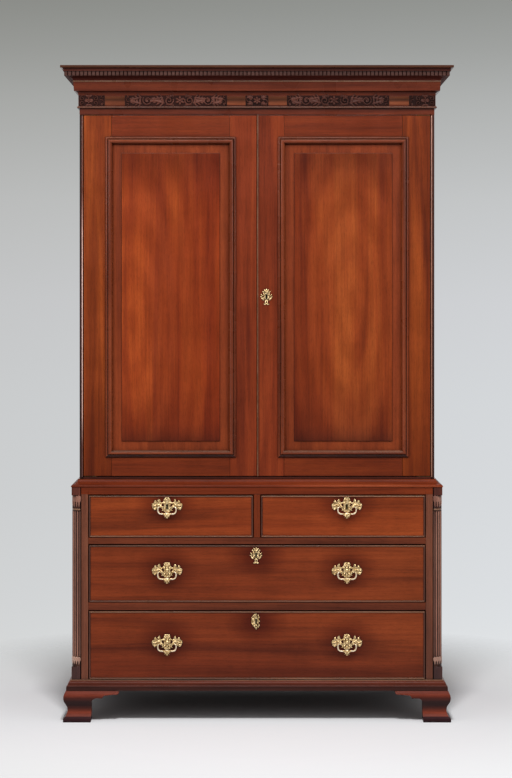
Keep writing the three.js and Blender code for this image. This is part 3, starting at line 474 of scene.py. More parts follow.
# The drawer fronts are darker at one end and round each handle and keyhole
dim = (234, 226, 230)
fronts = {'bandScale': 16, 'stains': [(-0.302, 0.73), (0.302, 0.73), (-0.302, 0.51), (0.302, 0.51),
                                      (-0.302, 0.27), (0.302, 0.27), (0, 0.557), (0, 0.335)]}
shortDrawerGrain = wood('mahoganyShortDrawers', 'X', (1.2, 0.2, 4.4), (100, 41, 19), (135, 58, 26), (154, 70, 32),
                        drift=[(0.12, 1.0), (0.6, dim), (0.88, 1.0)], **fronts)
longDrawerGrain = wood('mahoganyLongDrawers', 'X', (1.2, 0.2, 4.4), (96, 40, 20), (126, 56, 27), (148, 68, 33),
                       drift=[(0.12, dim), (0.55, dim), (0.85, 1.0)],
                       rise=[(0.075, (208, 200, 214)), (0.09, (220, 214, 226)), (0.118, 1.0)], **fronts)
gapGrain = wood('mahoganyGapShade', 'X', (0, 0, 0), (16, 8, 6), (24, 12, 9), (32, 16, 12), gloss=0.6)
darkGrain = wood('mahoganyDarkRails', 'X', (5.1, 0.2, 0.4), (68, 30, 19), (98, 46, 28), (116, 56, 34))
mouldingGrain = wood('mahoganyMouldings', 'X', (2.4, 1.1, 0.3), (66, 25, 15), (93, 38, 21), (113, 50, 29),
                     gloss=0.3, shine=0.15)
mouldingSideGrain = wood('mahoganyMouldingReturns', 'Y', (2.4, 1.1, 0.3), (66, 26, 17), (92, 38, 23),
                         (112, 50, 31), gloss=0.3, shine=0.2)
crownGrain = wood('mahoganyCrownFillet', 'X', (2.4, 7.1, 0.3), (66, 36, 23), (88, 50, 33), (104, 62, 42),
                  gloss=0.34, shine=0.1)
filletGrain = wood('mahoganyCornicefillet', 'X', (5.4, 7.1, 0.3), (52, 22, 16), (74, 32, 23), (90, 42, 31),
                   gloss=0.34, shine=0.1)
roughTopGrain = wood('mahoganyRoughTop', 'X', (1.4, 8.1, 0.3), (74, 38, 24), (92, 50, 33), (110, 62, 42),
                     gloss=0.85, shine=0.04)
soffitGrain = wood('mahoganySoffit', 'X', (1.4, 7.1, 0.3), (68, 29, 23), (92, 42, 34), (108, 52, 42),
                   gloss=0.6, shine=0.04)
# Painted shade: a dark finish for edges, undersides and recesses that stand in shadow
shadeGrain = wood('mahoganyPaintedShade', 'Z', (1.4, 4.1, 0.3), (38, 17, 12), (54, 25, 18), (68, 33, 24),
                 gloss=0.4, shine=0.1)
waistGrain = wood('mahoganyWaist', 'X', (2.9, 1.7, 0.3), (84, 32, 17), (117, 47, 23), (138, 62, 32),
                  gloss=0.34, shine=0.08)
# Painted highlight: a pale finish for the frieze bead and for the upward-facing edges of the panels and their
# mouldings
paleHighlightGrain = wood('mahoganyPaleHighlight', 'X', (2.9, 6.7, 0.3), (74, 42, 31), (100, 62, 46), (120, 78, 60),
                       gloss=0.28, shine=0.2)
beadLineGrain = wood('mahoganyLitBeads', 'X', (2.9, 5.7, 0.3), (104, 66, 46), (138, 98, 72), (160, 120, 92),
                     gloss=0.28, shine=0.4)
doorMouldingGrain = wood('mahoganyDoorMouldings', 'X', (2.4, 1.1, 0.3), (86, 35, 17), (118, 52, 27),
                         (138, 66, 35), gloss=0.3, shine=0.2, grime=1.0)
uprightMouldingGrain = wood('mahoganyUprightMouldings', 'Z', (1.4, 1.1, 0.3), (86, 35, 17), (118, 52, 27),
                            (138, 66, 35), gloss=0.28, shine=0.2, grime=1.0)
stripGrain = wood('mahoganyCornerStrips', 'Z', (3.3, 5.4, 0.2), (76, 42, 30), (108, 60, 42), (128, 76, 54),
                  shine=0.2)
columnGrain = wood('mahoganyColumns', 'Z', (8.4, 1.1, 0.3), (102, 62, 51), (154, 106, 89), (180, 132, 111),
                   gloss=0.32, shine=0.3)
# Painted shade for the hollows of the flutes and the ground of the carved necks
recessShadeGrain = wood('mahoganyRecessShade', 'Z', (8.4, 1.1, 0.3), (46, 26, 21), (68, 41, 33), (86, 54, 43),
                  gloss=0.4, grime=1.0)
beadGrain = wood('mahoganySideBeads', 'Z', (8.4, 3.1, 0.3), (122, 70, 52), (152, 99, 77), (172, 122, 97),
                 gloss=0.22, shine=0.4)
# Painted highlight for the left side bead: pale in the middle of its height, darker above and below
highlightBeadGrain = wood('mahoganyHighlightBead', 'Z', (8.4, 3.1, 0.3), (212, 160, 146), (230, 184, 172),
                       (242, 204, 194), gloss=0.22, shine=0.4,
                       rise=[(0.42, (118, 92, 88)), (0.47, (235, 235, 235)), (0.74, 1.0),
                             (0.79, (172, 145, 138)), (0.81, (136, 98, 84))])
carvedGrain = wood('mahoganyCarving', 'X', (6.4, 1.1, 0.3), (54, 26, 20), (83, 44, 34), (114, 66, 53),
                   gloss=0.3, grime=1.0)
groundGrain = wood('mahoganyCarvedGround', 'X', (4.4, 1.1, 0.7), (34, 16, 13), (47, 23, 19), (59, 30, 25),
                   gloss=0.5, shine=0.06)
dentilGrain = wood('mahoganyDentils', 'X', (4.9, 1.1, 2.7), (54, 29, 24), (76, 45, 37), (95, 60, 50), shine=0.2)
# Painted reflection on the tablets: the lower half left lit, the upper half darker
tabletGrain = wood('mahoganyTablets', 'X', (3.4, 7.1, 0.3), (96, 48, 29), (120, 62, 37), (140, 76, 46),
                   bandScale=40, rise=[(0.9475, 1.0), (0.949, (150, 150, 130)), (0.956, (190, 185, 165))])
# Lit and shaded copies of the cockbead finish: the lighter one a painted highlight for top and bottom beads, the
# darker one painted shade for upright sides
litCockbeadGrain = wood('mahoganyCockbeads', 'X', (3.9, 6.1, 0.3), (94, 56, 38), (130, 84, 58), (152, 106, 76),
                     gloss=0.3, shine=0.4, grime=0.9)
shadedCockbeadSideGrain = wood('mahoganyCockbeadSides', 'Z', (3.9, 6.1, 0.3), (58, 32, 26), (84, 50, 40),
                         (104, 66, 54), gloss=0.34, shine=0.24, grime=0.9)
keyholeShade = wood('keyholeShade', 'Z', (0, 0, 0), (5, 3, 2), (8, 5, 4), (12, 8, 6), gloss=0.8, shine=0)
bevelGrain = wood('mahoganyPanelBevels', 'Z', (1.7, 3.1, 0.3), (104, 43, 22), (128, 55, 27), (144, 66, 33),
                  grime=0.3)

# The figured veneer of the panels: rings round a heart, darker at the rim, the head and the foot
rings = {'scale': (2.6, 0, 0.8), 'count': 2.2, 'bend': 2.6, 'amount': 0.4, 'low': (206, 186, 176),
         'rim': (206, 186, 182)}
veneer = {'bandScale': 18, 'grime': 0.25, 'mottle': 0.25, 'rise': [
    (0.4252, (160, 160, 196)), (0.4345, (192, 190, 225)), (0.4527, (226, 222, 240)), (0.4896, (242, 240, 248)),
    (0.527, 1.0), (0.79, 1.0), (0.82, (240, 238, 242)), (0.857, (212, 209, 218))]}
panelGrains = {
    'left': wood('figuredLeftPanel', 'Z', (0, 0, 0), (136, 55, 25), (164, 72, 30), (180, 86, 35),
                 drift=[(0.2, (246, 240, 240)), (0.26, 1.0), (0.324, (236, 226, 232)), (0.39, (255, 248, 252))],
                 rings={**rings, 'centre': (-0.42, 0, 1.33)}, **veneer),
    'right': wood('figuredRightPanel', 'Z', (4, 0, 1), (123, 50, 22), (149, 66, 28), (168, 83, 36),
                  drift=[(0.59, (238, 230, 236)), (0.65, (252, 248, 250)), (0.7, (243, 238, 240)),
                         (0.765, (243, 238, 240)), (0.79, 1.0)],
                  rings={**rings, 'centre': (0.32, 0, 1.4)}, **veneer),
}

# Painted shade up the foot: darker at its toe, and darkest in the hollow of its neck where the ogee curves in
toe, half, deep = (122, 152, 225), (165, 185, 215), (115, 165, 220)
footGrain = wood('mahoganyFeet', 'X', (0.9, 6.1, 0.3), (90, 36, 24), (110, 46, 31), (126, 57, 39), gloss=0.33,
                 shine=0.1, riseTop=0.15,
                 rise=[(0.1, toe), (0.115, toe), (0.13, 1.0), (0.21, 1.0), (0.3, half), (0.37, deep), (0.46, deep),
                       (0.54, half), (0.61, 1.0)])
# The lower half of the base moulding is darker: painted shade
baseMouldingGrain = wood('mahoganyBaseMouldings', 'X', (2.4, 1.1, 0.3), (70, 27, 17), (92, 39, 24),
                         (110, 50, 32), gloss=0.3, shine=0.15, riseTop=0.15, rise=[(0.78, half), (0.81, 1.0)])
blockGrain = wood('mahoganyColumnBlocks', 'Z', (8.4, 6.1, 0.3), (44, 24, 22), (62, 36, 33), (78, 47, 43),
                  gloss=0.34, shine=0.24)
capitalGrain = wood('mahoganyCapitals', 'Z', (8.4, 7.1, 0.3), (62, 28, 21), (86, 41, 31), (104, 54, 41),
                    gloss=0.34, shine=0.2)
# Painted glints for the carved leaves of the lower column row
glintGrain = wood('mahoganyGlintLeaves', 'Z', (3.4, 6.1, 0.3), (130, 92, 78), (170, 130, 112), (198, 160, 142),
                  gloss=0.26, shine=0.4, grime=1.0)
poplarGrain = wood('poplarBoards', 'X', (0.1, 0.4, 0.6), (120, 92, 58), (158, 128, 86), (182, 154, 110),
                   gloss=0.62, shine=0.3)
oakGrain = wood('oakBoards', 'X', (0.2, 0.5, 0.1), (112, 82, 50), (150, 116, 74), (174, 142, 98),
                gloss=0.55, shine=0.3, pores=0.6)
brass = makeBrass('wornBrass')
bailBrass = makeBrass('rubbedBrass', bright=(255, 240, 214), dull=(226, 200, 156), gloss=(0.26, 0.4), grimy=0.3,
                      clean=0.8)
darkBrass = makeBrass('tarnishedBrass', bright=(96, 76, 48), dull=(60, 44, 28), gloss=(0.45, 0.6))
print('finishes ready')


# Case: the solids that need only softened edges

edges = {
    'moulding': 0.0006, 'board': 0.0012, 'hidden': 0.0008, 'small': 0.0004, 'thin': 0.0003, 'hairline': 0.0002,
    'tablet': 0.0005, 'panel': 0.0024, 'cockbead': 0.002,
}
caseSide = 0.57
crown = {
    'beadFoot': 2.0605, 'beadHead': 2.0668, 'soffitFoot': 2.1525, 'toothFoot': 2.1655, 'toothHead': 2.1815,
    'toothFront': -0.2932, 'toothSide': 0.644, 'filletFoot': 2.182, 'filletHead': 2.1915, 'top': 2.195,
    'rear': 0.2,
}
column = {
    'axis': (0.5938, -0.24305), 'fluteReach': 0.0258, 'plinthHead': 0.184, 'fluteFoot': 0.216, 'fluteHead': 0.7,
    'neckFoot': 0.7025, 'ringFoot': 0.7075, 'ringHead': 0.7135, 'capitalFoot': 0.7165, 'glintHead': 0.3,
}
upperLow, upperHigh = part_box('upper_side_left')
frontEdge = {'deep': 0.012, 'facing': -0.1}
baseBeadFoot = 0.1362


def facesSide(centre, normal):
    return abs(normal.x) > abs(normal.y) and abs(normal.x) > 0.05 and abs(centre.x) > caseSide


def insideFlute(centre, normal):
    reach = math.hypot(abs(centre.x) - column['axis'][0], centre.y - column['axis'][1])
    return column['fluteFoot'] < centre.z < column['fluteHead'] and reach < column['fluteReach']


def onTooth(centre, normal):
    forward = normal.y < -0.6 and centre.y < crown['toothFront']
    aside = abs(normal.x) > 0.6 and abs(centre.x) > crown['toothSide']
    return crown['toothFoot'] < centre.z < crown['toothHead'] and (forward or aside)


def onNeck(centre, normal):
    return (column['neckFoot'] < centre.z < column['capitalFoot']
            or column['plinthHead'] < centre.z < column['fluteFoot'])


def onBlock(centre, normal):
    return centre.z > column['capitalFoot'] or centre.z < column['plinthHead']


def onTop(centre, normal):
    return normal.z > 0.9 and (centre.z > crown['top'] or centre.y > crown['rear'])


def atFrontEdge(centre, normal):
    return centre.y < upperLow.y + frontEdge['deep'] and normal.y < frontEdge['facing']


cornice = dress('cornice', mouldingGrain, 'mahogany', edges['moulding'], 'corniceRun')
# The frieze bead is painted pale as a highlight
paintFaces(
    cornice, (mouldingSideGrain, facesSide),
    (crownGrain, lambda centre, normal: centre.z > crown['filletHead'] and abs(normal.y) > 0.5),
    (soffitGrain, between(crown['soffitFoot'], crown['filletFoot'])), (dentilGrain, onTooth),
    (filletGrain, between(crown['filletFoot'], crown['filletHead'])),
    (paleHighlightGrain, between(crown['beadFoot'], crown['beadHead'])), (roughTopGrain, onTop))
# The bead at the head of the base moulding is painted with a highlight
baseRun = dress('base_moulding', mouldingGrain, 'mahogany', edges['moulding'], 'baseRun')
paintFaces(
    baseRun, (mouldingSideGrain, facesSide),
    (baseMouldingGrain, lambda centre, normal: not facesSide(centre, normal)),
    (litCockbeadGrain, lambda centre, normal: centre.z > baseBeadFoot and not facesSide(centre, normal)))

# The waist moulding: its foot, and its section as steps inward and upward. It is built longer than it is
# deep and cut off at the back
waist = {
    'behind': 0.06, 'foot': 0.0032,
    'steps': ((0.0009, 0.002), (0.0021, 0.002), (0.0035, 0.002), (0.0035, 0.0012), (0.004, 0.0018),
              (0.0035, 0.003), (0.0025, 0.003), (0.0017, 0.003), (0.0006, 0.003), (0.0001, 0.0015)),
}


def makeWaistRun():
    low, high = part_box('waist_moulding')
    rear = high.y + waist['behind']
    clearSelection()
    bpy.ops.mesh.primitive_plane_add(size=1, location=(0, (low.y + rear) / 2, low.z))
    piece = bpy.context.object
    piece.scale = (high.x - low.x, rear - low.y, 1)
    editAll(settle(piece, 'waistRun'))
    bpy.ops.mesh.extrude_region_move(TRANSFORM_OT_translate={'value': (0, 0, waist['foot'])})
    for inward, upward in waist['steps']:
        bpy.ops.mesh.inset(thickness=inward, depth=upward)
    bpy.ops.mesh.select_all(action='SELECT')
    bpy.ops.mesh.bisect(plane_co=(0, high.y, 0), plane_no=(0, 1, 0), use_fill=True, clear_outer=True)
    closeUp()
    smooth(piece, 'moulded')
    place(piece, waistGrain, 'mahogany', 'case', 'waist_moulding')
    paintFaces(piece, (mouldingSideGrain, facesSide))


makeWaistRun()

# Lit fillet along the head of the fascia
fascia = {'inset': 0.04, 'reach': 0.0012, 'deep': 0.004, 'foot': 2.1485, 'head': 2.152}
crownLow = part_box('cornice')[0]
fasciaSide, fasciaFront = crownLow.x + fascia['inset'], crownLow.y + fascia['inset']
place(board('fasciaFillet', (fasciaSide - fascia['reach'], fasciaFront - fascia['reach'], fascia['foot']),
            (-fasciaSide + fascia['reach'], fasciaFront + fascia['deep'], fascia['head']), edges['hidden']),
      beadLineGrain, 'mahogany', 'case')

# Corner posts: a face strip with a quirk beside the column, the end of the top rail over it, and the block
# behind the column, which is painted dark as the shade in the quirk
post = {'pocket': 0.0295, 'width': 0.0235, 'railEnd': 0.024}


def makeCornerPosts():
    low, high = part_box('corner_post_left')
    strip, railFoot = high.x - post['width'], high.z - post['railEnd']
    pieces = (
        board('cornerStripLeft', (strip, low.y, low.z), (high.x, high.y, railFoot), edges['board']),
        board('cornerBlockLeft', (low.x, low.y + post['pocket'], low.z), (strip, high.y, high.z), edges['board']),
        board('cornerRailEndLeft', (strip, low.y, railFoot), high, edges['thin']),
    )
    for piece, finish in zip(pieces, (stripGrain, shadeGrain, railGrain)):
        placePair(piece, finish, 'mahogany', 'corner_post_')


makeCornerPosts()
for side in ('left', 'right'):
    for node, finish, slotName, width in (
        ('upper_side_', sideGrain, 'mahogany', 'board'), ('base_side_', sideGrain, 'mahogany', 'board'),
        ('quarter_column_', columnGrain, 'carved_mahogany', 'moulding'),
        ('front_foot_', footGrain, 'mahogany', 'board'), ('rear_foot_', footGrain, 'mahogany', 'board'),
    ):
        piece = dress(node + side, finish, slotName, edges[width])
        if node == 'quarter_column_':
            # The middle of each flute and the carved necks are painted dark as shade, and the ring under the capital
            # with a highlight
            paintFaces(piece, (recessShadeGrain, insideFlute), (recessShadeGrain, onNeck), (blockGrain, onBlock),
                       (capitalGrain, lambda centre, normal: centre.z > column['capitalFoot']),
                       (beadLineGrain, between(column['ringFoot'], column['ringHead'])))
        # The front edge of each upper side is painted dark as shade
        if node == 'upper_side_':
            paintFaces(piece, (shadeGrain, atFrontEdge))
for nodeName, finish in (('upper_bottom_board', filletGrain), ('lower_dustboard', darkGrain),
                         ('upper_dustboard', darkGrain), ('base_top_board', railGrain),
                         ('drawer_divider', sideGrain)):
    dress(nodeName, finish, 'mahogany', edges['hidden'])
for nodeName in ('base_bottom_board', 'base_backboards', 'upper_backboards', 'upper_top_board'):
    piece = dress(nodeName, poplarGrain, 'poplar', edges['hidden'])
    # The underside of the base bottom board is painted dark: painted shade under the case
    if nodeName == 'base_bottom_board':
        paintFaces(piece, (shadeGrain, lambda centre, normal: normal.z < -0.5))
for level in ('lower', 'middle', 'upper'):
    dress('linen_tray_' + level, oakGrain, 'oak', edges['board'])

# A bead on the front edge of each upper side. The left one has a painted highlight, a bright line along its middle
# height; the right one is painted lighter than the sides, a milder painted highlight; the sides of the left one and
# the outer side of the right one are painted dark as shade
sideBead = {'across': 0.5893, 'sunk': 0.0026, 'shorter': 0.034, 'raised': 0.03, 'sides': 20, 'radius': 0.0028,
            'edge': edges['thin']}
bead = roundBar('sideBeadLeft', (-sideBead['across'], upperLow.y + sideBead['sunk'],
                                 (upperLow.z + upperHigh.z + sideBead['raised']) / 2),
                upperHigh.z - upperLow.z - sideBead['shorter'], sideBead)
twin = mirrorCopy(bead, 'sideBeadRight')
place(bead, highlightBeadGrain, 'mahogany', 'case')
place(twin, beadGrain, 'mahogany', 'case')
paintFaces(bead, (shadeGrain, lambda centre, normal: abs(normal.x) > 0.62))
paintFaces(twin, (shadeGrain, lambda centre, normal: normal.x > 0.5))
print('case done')


# Frieze: carved scrolls between plain tablets, the same on both sides of the middle

frieze = {
    'face': -0.2513, 'low': 2.0675, 'high': 2.1045, 'middle': (2.0675 + 2.1045) / 2, 'proud': 0.0042,
    'grain': 0.0009, 'keep': 0.35, 'end': 0.0575, 'tablets': ((-0.5125, -0.4455), (-0.101, -0.0385)), 'gap': 0.003,
    'sunk': 0.001, 'tabletInset': 0.004, 'tabletProud': 0.0012, 'groundInset': 0.001, 'groundProud': 0.0005,
}


def scrollEnd(across, way):
    up, proud = frieze['middle'], frieze['proud']
    lobes = scrollLobes(across + way * 0.012, up, 0.0155, 0.36, 1, 115 if way > 0 else -65, 0.0022, proud)
    for side in (1, -1):
        lobes += scrollLobes(across + way * 0.0045, up + side * 0.0115, 0.0048, 0.8, -way * side, side * 90,
                             0.0016, proud * 1.1)
    return lobes


# Leaves of the long carving: place between flower and end, rise, turn, length, width and relief
longLeaves = {
    'inner': ((0.27, -0.009, 76, 0.26, 0.034, 1), (0.3, 0.011, 100, 0.24, 0.026, 0.9)),
    'outer': ((0.69, 0.012, 104, 0.24, 0.03, 1), (0.69, -0.012, 76, 0.22, 0.028, 1),
              (0.1, -0.016, 84, 0.16, 0.014, 0.8), (0.1, 0.016, 96, 0.16, 0.014, 0.8)),
}


def longCarving(left, right):
    up, proud = frieze['middle'], frieze['proud']
    centre = left + (right - left) * 0.54
    lobes = scrollEnd(left + 0.001, 1) + scrollEnd(right - 0.001, -1)
    lobes += flowerLobes(centre, up, 0.0165, 6, proud * 1.1)
    for way, share in ((-1, centre - left), (1, right - centre)):
        leaves = {row: [lobe for at, rise, turn, length, width, relief in longLeaves[row]
                        for lobe in leafLobes(centre + way * share * at, up + rise, 90 - way * turn,
                                              share * length, width, proud * relief)] for row in longLeaves}
        lobes += scrollLobes(centre + way * share * 0.2, up, 0.0148, 1.4, way, 90 + way * 80, 0.003, proud)
        lobes += leaves['inner']
        lobes += scrollLobes(centre + way * share * 0.6, up, 0.0158, 1.4, -way, 90 - way * 60, 0.0031, proud)
        lobes += flowerLobes(centre + way * share * 0.6, up + 0.001, 0.0065, 5, proud)
        lobes += leaves['outer']
    return lobes


def shortCarving(left, right):
    up, proud = frieze['middle'], frieze['proud']
    lobes = scrollEnd(right - 0.001, -1)
    lobes += flowerLobes(left + 0.034, up, 0.0115, 6, proud * 1.2)
    for way, across in ((1, left + 0.012), (-1, left + 0.057)):
        lobes += scrollLobes(across, up + 0.0075, 0.0082, 1.2, way, 90, 0.0017, proud)
        lobes += scrollLobes(across, up - 0.0085, 0.0076, 1.2, -way, -90, 0.0016, proud)
        lobes += leafLobes(across + way * 0.007, up, 90 - way * 90, 0.012, 0.012, proud)
    for rise, heading in ((0.0125, 30), (0.0125, 150), (-0.0125, -30), (-0.0125, 210)):
        lobes += leafLobes(left + 0.034, up + rise, heading, 0.012, 0.01, proud)
    return lobes


def middleCarving():
    up, proud = frieze['middle'], frieze['proud']
    lobes = flowerLobes(0, up, 0.0135, 6, proud * 1.1)
    for way in (-1, 1):
        for side in (1, -1):
            lobes += leafLobes(way * 0.013, up + side * 0.007, side * (90 - way * 68), 0.018, 0.018, proud)
        lobes += scrollEnd(way * 0.036, -way)
    return lobes


def friezeBoard(pieceName, left, right, kind, edge):
    return board(pieceName, (left, frieze['face'] - frieze[kind + 'Proud'], frieze['low'] + frieze[kind + 'Inset']),
                 (right, frieze['face'] + frieze['sunk'], frieze['high'] - frieze[kind + 'Inset']), edges[edge])


def makeFrieze():
    outer, inner = frieze['tablets']
    end, gap = crownLow.x + frieze['end'], frieze['gap']
    for label, lobes in (('Long', longCarving(outer[1] + gap, inner[0] - gap)),
                         ('Short', shortCarving(end, outer[0] - gap))):
        piece = carve('friezeCarving' + label + 'Left', lobes, frieze['face'], frieze)
        placePair(piece, carvedGrain, 'carved_mahogany')
    for label, left, right in (('Short', end, outer[0]), ('Long', outer[1], inner[0])):
        piece = friezeBoard('friezeGround' + label + 'Left', left, right, 'ground', 'hairline')
        placePair(piece, groundGrain, 'carved_mahogany')
    piece = friezeBoard('friezeGroundMiddle', inner[1], -inner[1], 'ground', 'hairline')
    place(piece, groundGrain, 'carved_mahogany', 'case')
    piece = carve('friezeCarvingMiddle', middleCarving(), frieze['face'], frieze)
    place(piece, carvedGrain, 'carved_mahogany', 'case')
    for label, (left, right) in (('Outer', outer), ('Inner', inner)):
        piece = friezeBoard('friezeTablet' + label + 'Left', left, right, 'tablet', 'tablet')
        placePair(piece, tabletGrain, 'mahogany')


makeFrieze()
print('frieze carved')


# Leaves on the quarter columns. A row is its height, half height, half width and relief of a leaf, and how
# many there are; a leaf is four lobes, each its place across and up and its share of the height

columnCarving = {
    'radius': 0.0272, 'grain': 0.0009, 'keep': 0.4, 'narrow': 0.55,
    'rows': ((0.2, 0.0135, 0.0055, 0.0034, 5), (0.737, 0.02, 0.006, 0.0026, 5)),
    'lobes': ((0, 0, 1), (-0.6, 0.45, 0.55), (0.6, 0.45, 0.55), (0, 0.8, 0.35)),
}


def makeColumnLeaves():
    centreX, centreY = -column['axis'][0], column['axis'][1]
    radius = columnCarving['radius']
    places = []
    for middle, halfHeight, halfWidth, proud, count in columnCarving['rows']:
        for number in range(count):
            turn = math.radians(180 + 90 * (number + 0.5) / count)
            for sideways, height, stretch in columnCarving['lobes']:
                angle = turn + sideways * halfWidth / radius
                places.append((
                    (centreX + math.cos(angle) * radius, centreY + math.sin(angle) * radius,
                     middle + height * halfHeight),
                    (0, 0, angle), (proud, halfWidth * columnCarving['narrow'], halfHeight * stretch)))
    for leaves in placePair(melt(gather(places), 'columnLeavesLeft', columnCarving), columnGrain, 'carved_mahogany'):
        # The lower row of leaves is painted with bright glints, a painted highlight
        paintFaces(leaves, (glintGrain, lambda centre, normal: centre.z < column['glintHead']))


makeColumnLeaves()
print('columns carved')


# Doors

door = {'meetingStile': 0.09, 'outerStile': 0.0935, 'topRail': 0.093, 'bottomRail': 0.084, 'edge': 0.0007,
        'gap': 0.001, 'seam': 0.0007}
# The panel moulding: its section as steps inward and outward from its outer edge
panelMoulding = {
    'proud': 0.0001, 'deep': 0.002, 'footMember': 0.0085,
    'steps': (
        (0.0002, 0.003), (0.001, 0.002), (0.0016, 0.0012), (0.0018, 0.0002), (0.0016, -0.001), (0.001, -0.0012),
        (0.0006, -0.0002), (0.0008, 0.0016), (0.0016, 0.002), (0.0022, 0.0012), (0.0024, 0.0003),
        (0.0024, -0.0007), (0.0024, -0.0022), (0.0022, -0.0032), (0.0012, -0.003), (0.0003, -0.004)),
}


def onBevel(centre, normal):
    return normal.y < -0.93 and max(abs(normal.x), abs(normal.z)) > 0.06


def makeDoor(side):
    body = side + '_door'
    low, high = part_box(side + '_door_frame')
    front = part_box('left_door_frame')[0].y
    stiles = (door['outerStile'], door['meetingStile'])
    grains = (stileGrain, meetingStileGrain)
    if side == 'right':
        stiles, grains = stiles[::-1], grains[::-1]
    left, right = low.x + stiles[0], high.x - stiles[1]
    low.z += door['gap']
    high.z -= door['gap']
    for label, foot, head, finish in (
        ('StileLeft', (low.x, low.z), (left, high.z), grains[0]),
        ('StileRight', (right, low.z), (high.x, high.z), grains[1]),
        ('RailTop', (left + door['seam'], high.z - door['topRail']), (right - door['seam'], high.z), railGrain),
        ('RailBottom', (left + door['seam'], low.z), (right - door['seam'], low.z + door['bottomRail']), railGrain),
    ):
        piece = board(side + label, (foot[0], front, foot[1]), (head[0], high.y, head[1]), door['edge'])
        place(piece, finish, 'mahogany', body, side + '_door_frame')
    panel = dress(side + '_door_panel', panelGrains[side], 'figured_mahogany', edges['panel'], side + 'Panel', 3)
    # The bevels take their own finish; the upward edges of the field get a painted highlight, its downward and side
    # edges painted shade
    paintFaces(
        panel, (bevelGrain, onBevel),
        (paleHighlightGrain, lambda centre, normal: normal.z > 0.25 and -0.97 < normal.y < -0.1),
        (shadeGrain, lambda centre, normal: normal.z < -0.25 and normal.y < -0.1),
        (shadeGrain, lambda centre, normal: abs(normal.x) > 0.25 and normal.y < -0.1))
    low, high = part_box(side + '_door_moulding')
    moulding = runFrame(side + 'PanelMoulding', low, high, front + panelMoulding['proud'], panelMoulding['steps'],
                        panelMoulding['deep'])
    smooth(moulding, 'moulded')
    place(moulding, doorMouldingGrain, 'mahogany', body, side + '_door_moulding')
    middle, foot = (low.z + high.z) / 2, low.z + panelMoulding['footMember']
    # Painted light on the panel moulding: its upright members take the upright grain, its upward faces a highlight,
    # and the downward faces of its lower half and the outer member at its foot shade
    paintFaces(
        moulding, (uprightMouldingGrain, lambda centre, normal: abs(normal.x) > abs(normal.z)),
        (paleHighlightGrain, lambda centre, normal: normal.z > 0.5),
        (shadeGrain, lambda centre, normal: centre.z < middle and normal.z < -0.5),
        (shadeGrain, lambda centre, normal: centre.z < foot and abs(normal.z) > abs(normal.x)))


makeDoor('left')
makeDoor('right')

# The bead that covers the meeting of the doors, its left side painted with a highlight
meetingBead = {'sides': 24, 'radius': 0.003, 'edge': edges['small'], 'shorter': 0.001}
rightLow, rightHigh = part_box('right_door_frame')
bead = roundBar('meetingBead', (rightLow.x + meetingBead['radius'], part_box('left_door_frame')[0].y,
                                (rightLow.z + rightHigh.z) / 2),
                rightHigh.z - rightLow.z - meetingBead['shorter'], meetingBead)
place(bead, uprightMouldingGrain, 'mahogany', 'right_door', 'right_door_frame')
paintFaces(bead, (beadLineGrain, lambda centre, normal: normal.x < -0.2))
print('doors done')


# Drawers: a front inside a cockbead, a board behind both, painted dark as the shade in the gap where its edge shows,
# and the box

drawer = {
    'bead': 0.0045, 'beadProud': 0.0025, 'beadDeep': 0.006, 'gap': 0.0013, 'headGap': 0.0028, 'seam': 0.0002,
    'face': 0.0125, 'front': 0.02, 'behind': 0.012, 'behindInset': 0.0006, 'behindReach': 0.0001, 'wall': 0.012,
    'lip': 0.012, 'bottomRise': 0.01, 'bottom': 0.008,
}


def makeDrawer(name):
    low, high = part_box(name)
    face = low.y + drawer['beadProud']
    frontBack = face + drawer['front']
    beadLow = low + Vector((drawer['gap'], 0, drawer['gap']))
    beadHigh = high - Vector((drawer['gap'], 0, drawer['headGap']))
    bead = runFrame(name + '_cockbead', beadLow, beadHigh, beadLow.y, [(drawer['bead'], 0)],
                    drawer['beadProud'] + drawer['beadDeep'])
    place(easeEdges(bead, edges['cockbead'], 4), litCockbeadGrain, 'mahogany', name, name)
    inset = drawer['bead'] + drawer['seam']
    # Painted light on the cockbead: the top and bottom members lit, the upright sides and the downward faces shaded
    paintFaces(bead, (shadedCockbeadSideGrain, between(beadLow.z + inset, beadHigh.z - inset)),
               (shadeGrain, lambda centre, normal: normal.z < -0.3))
    front = board(name + '_front', (beadLow.x + inset, face, beadLow.z + inset),
                  (beadHigh.x - inset, face + drawer['face'], beadHigh.z - inset), edges['small'])
    place(front, shortDrawerGrain if 'short' in name else longDrawerGrain, 'mahogany', name, name)
    inset, wall = drawer['behindInset'], drawer['wall']
    behind = board(name + '_frontEdge', (low.x + inset, face + drawer['behind'], low.z + inset),
                   (high.x - inset, frontBack + drawer['behindReach'], high.z - inset), edges['small'])
    place(behind, gapGrain, 'mahogany', name, name)
    lip, rise = high.z - drawer['lip'], low.z + drawer['bottomRise']
    for label, foot, head in (
        ('sideLeft', (low.x, frontBack, low.z), (low.x + wall, high.y, lip)),
        ('sideRight', (high.x - wall, frontBack, low.z), (high.x, high.y, lip)),
        ('back', (low.x + wall, high.y - wall, low.z), (high.x - wall, high.y, lip)),
        ('bottom', (low.x + wall, frontBack, rise), (high.x - wall, high.y - wall, rise + drawer['bottom'])),
    ):
        place(board(name + '_' + label, foot, head, edges['hidden']), oakGrain, 'mahogany', name, name)


for name in ('short_drawer_left', 'short_drawer_right', 'middle_drawer', 'bottom_drawer'):
    makeDrawer(name)
print('drawers done')


# Brass: each plate is the CAD plate with its cast relief, lobes counted from the middle of the pivots

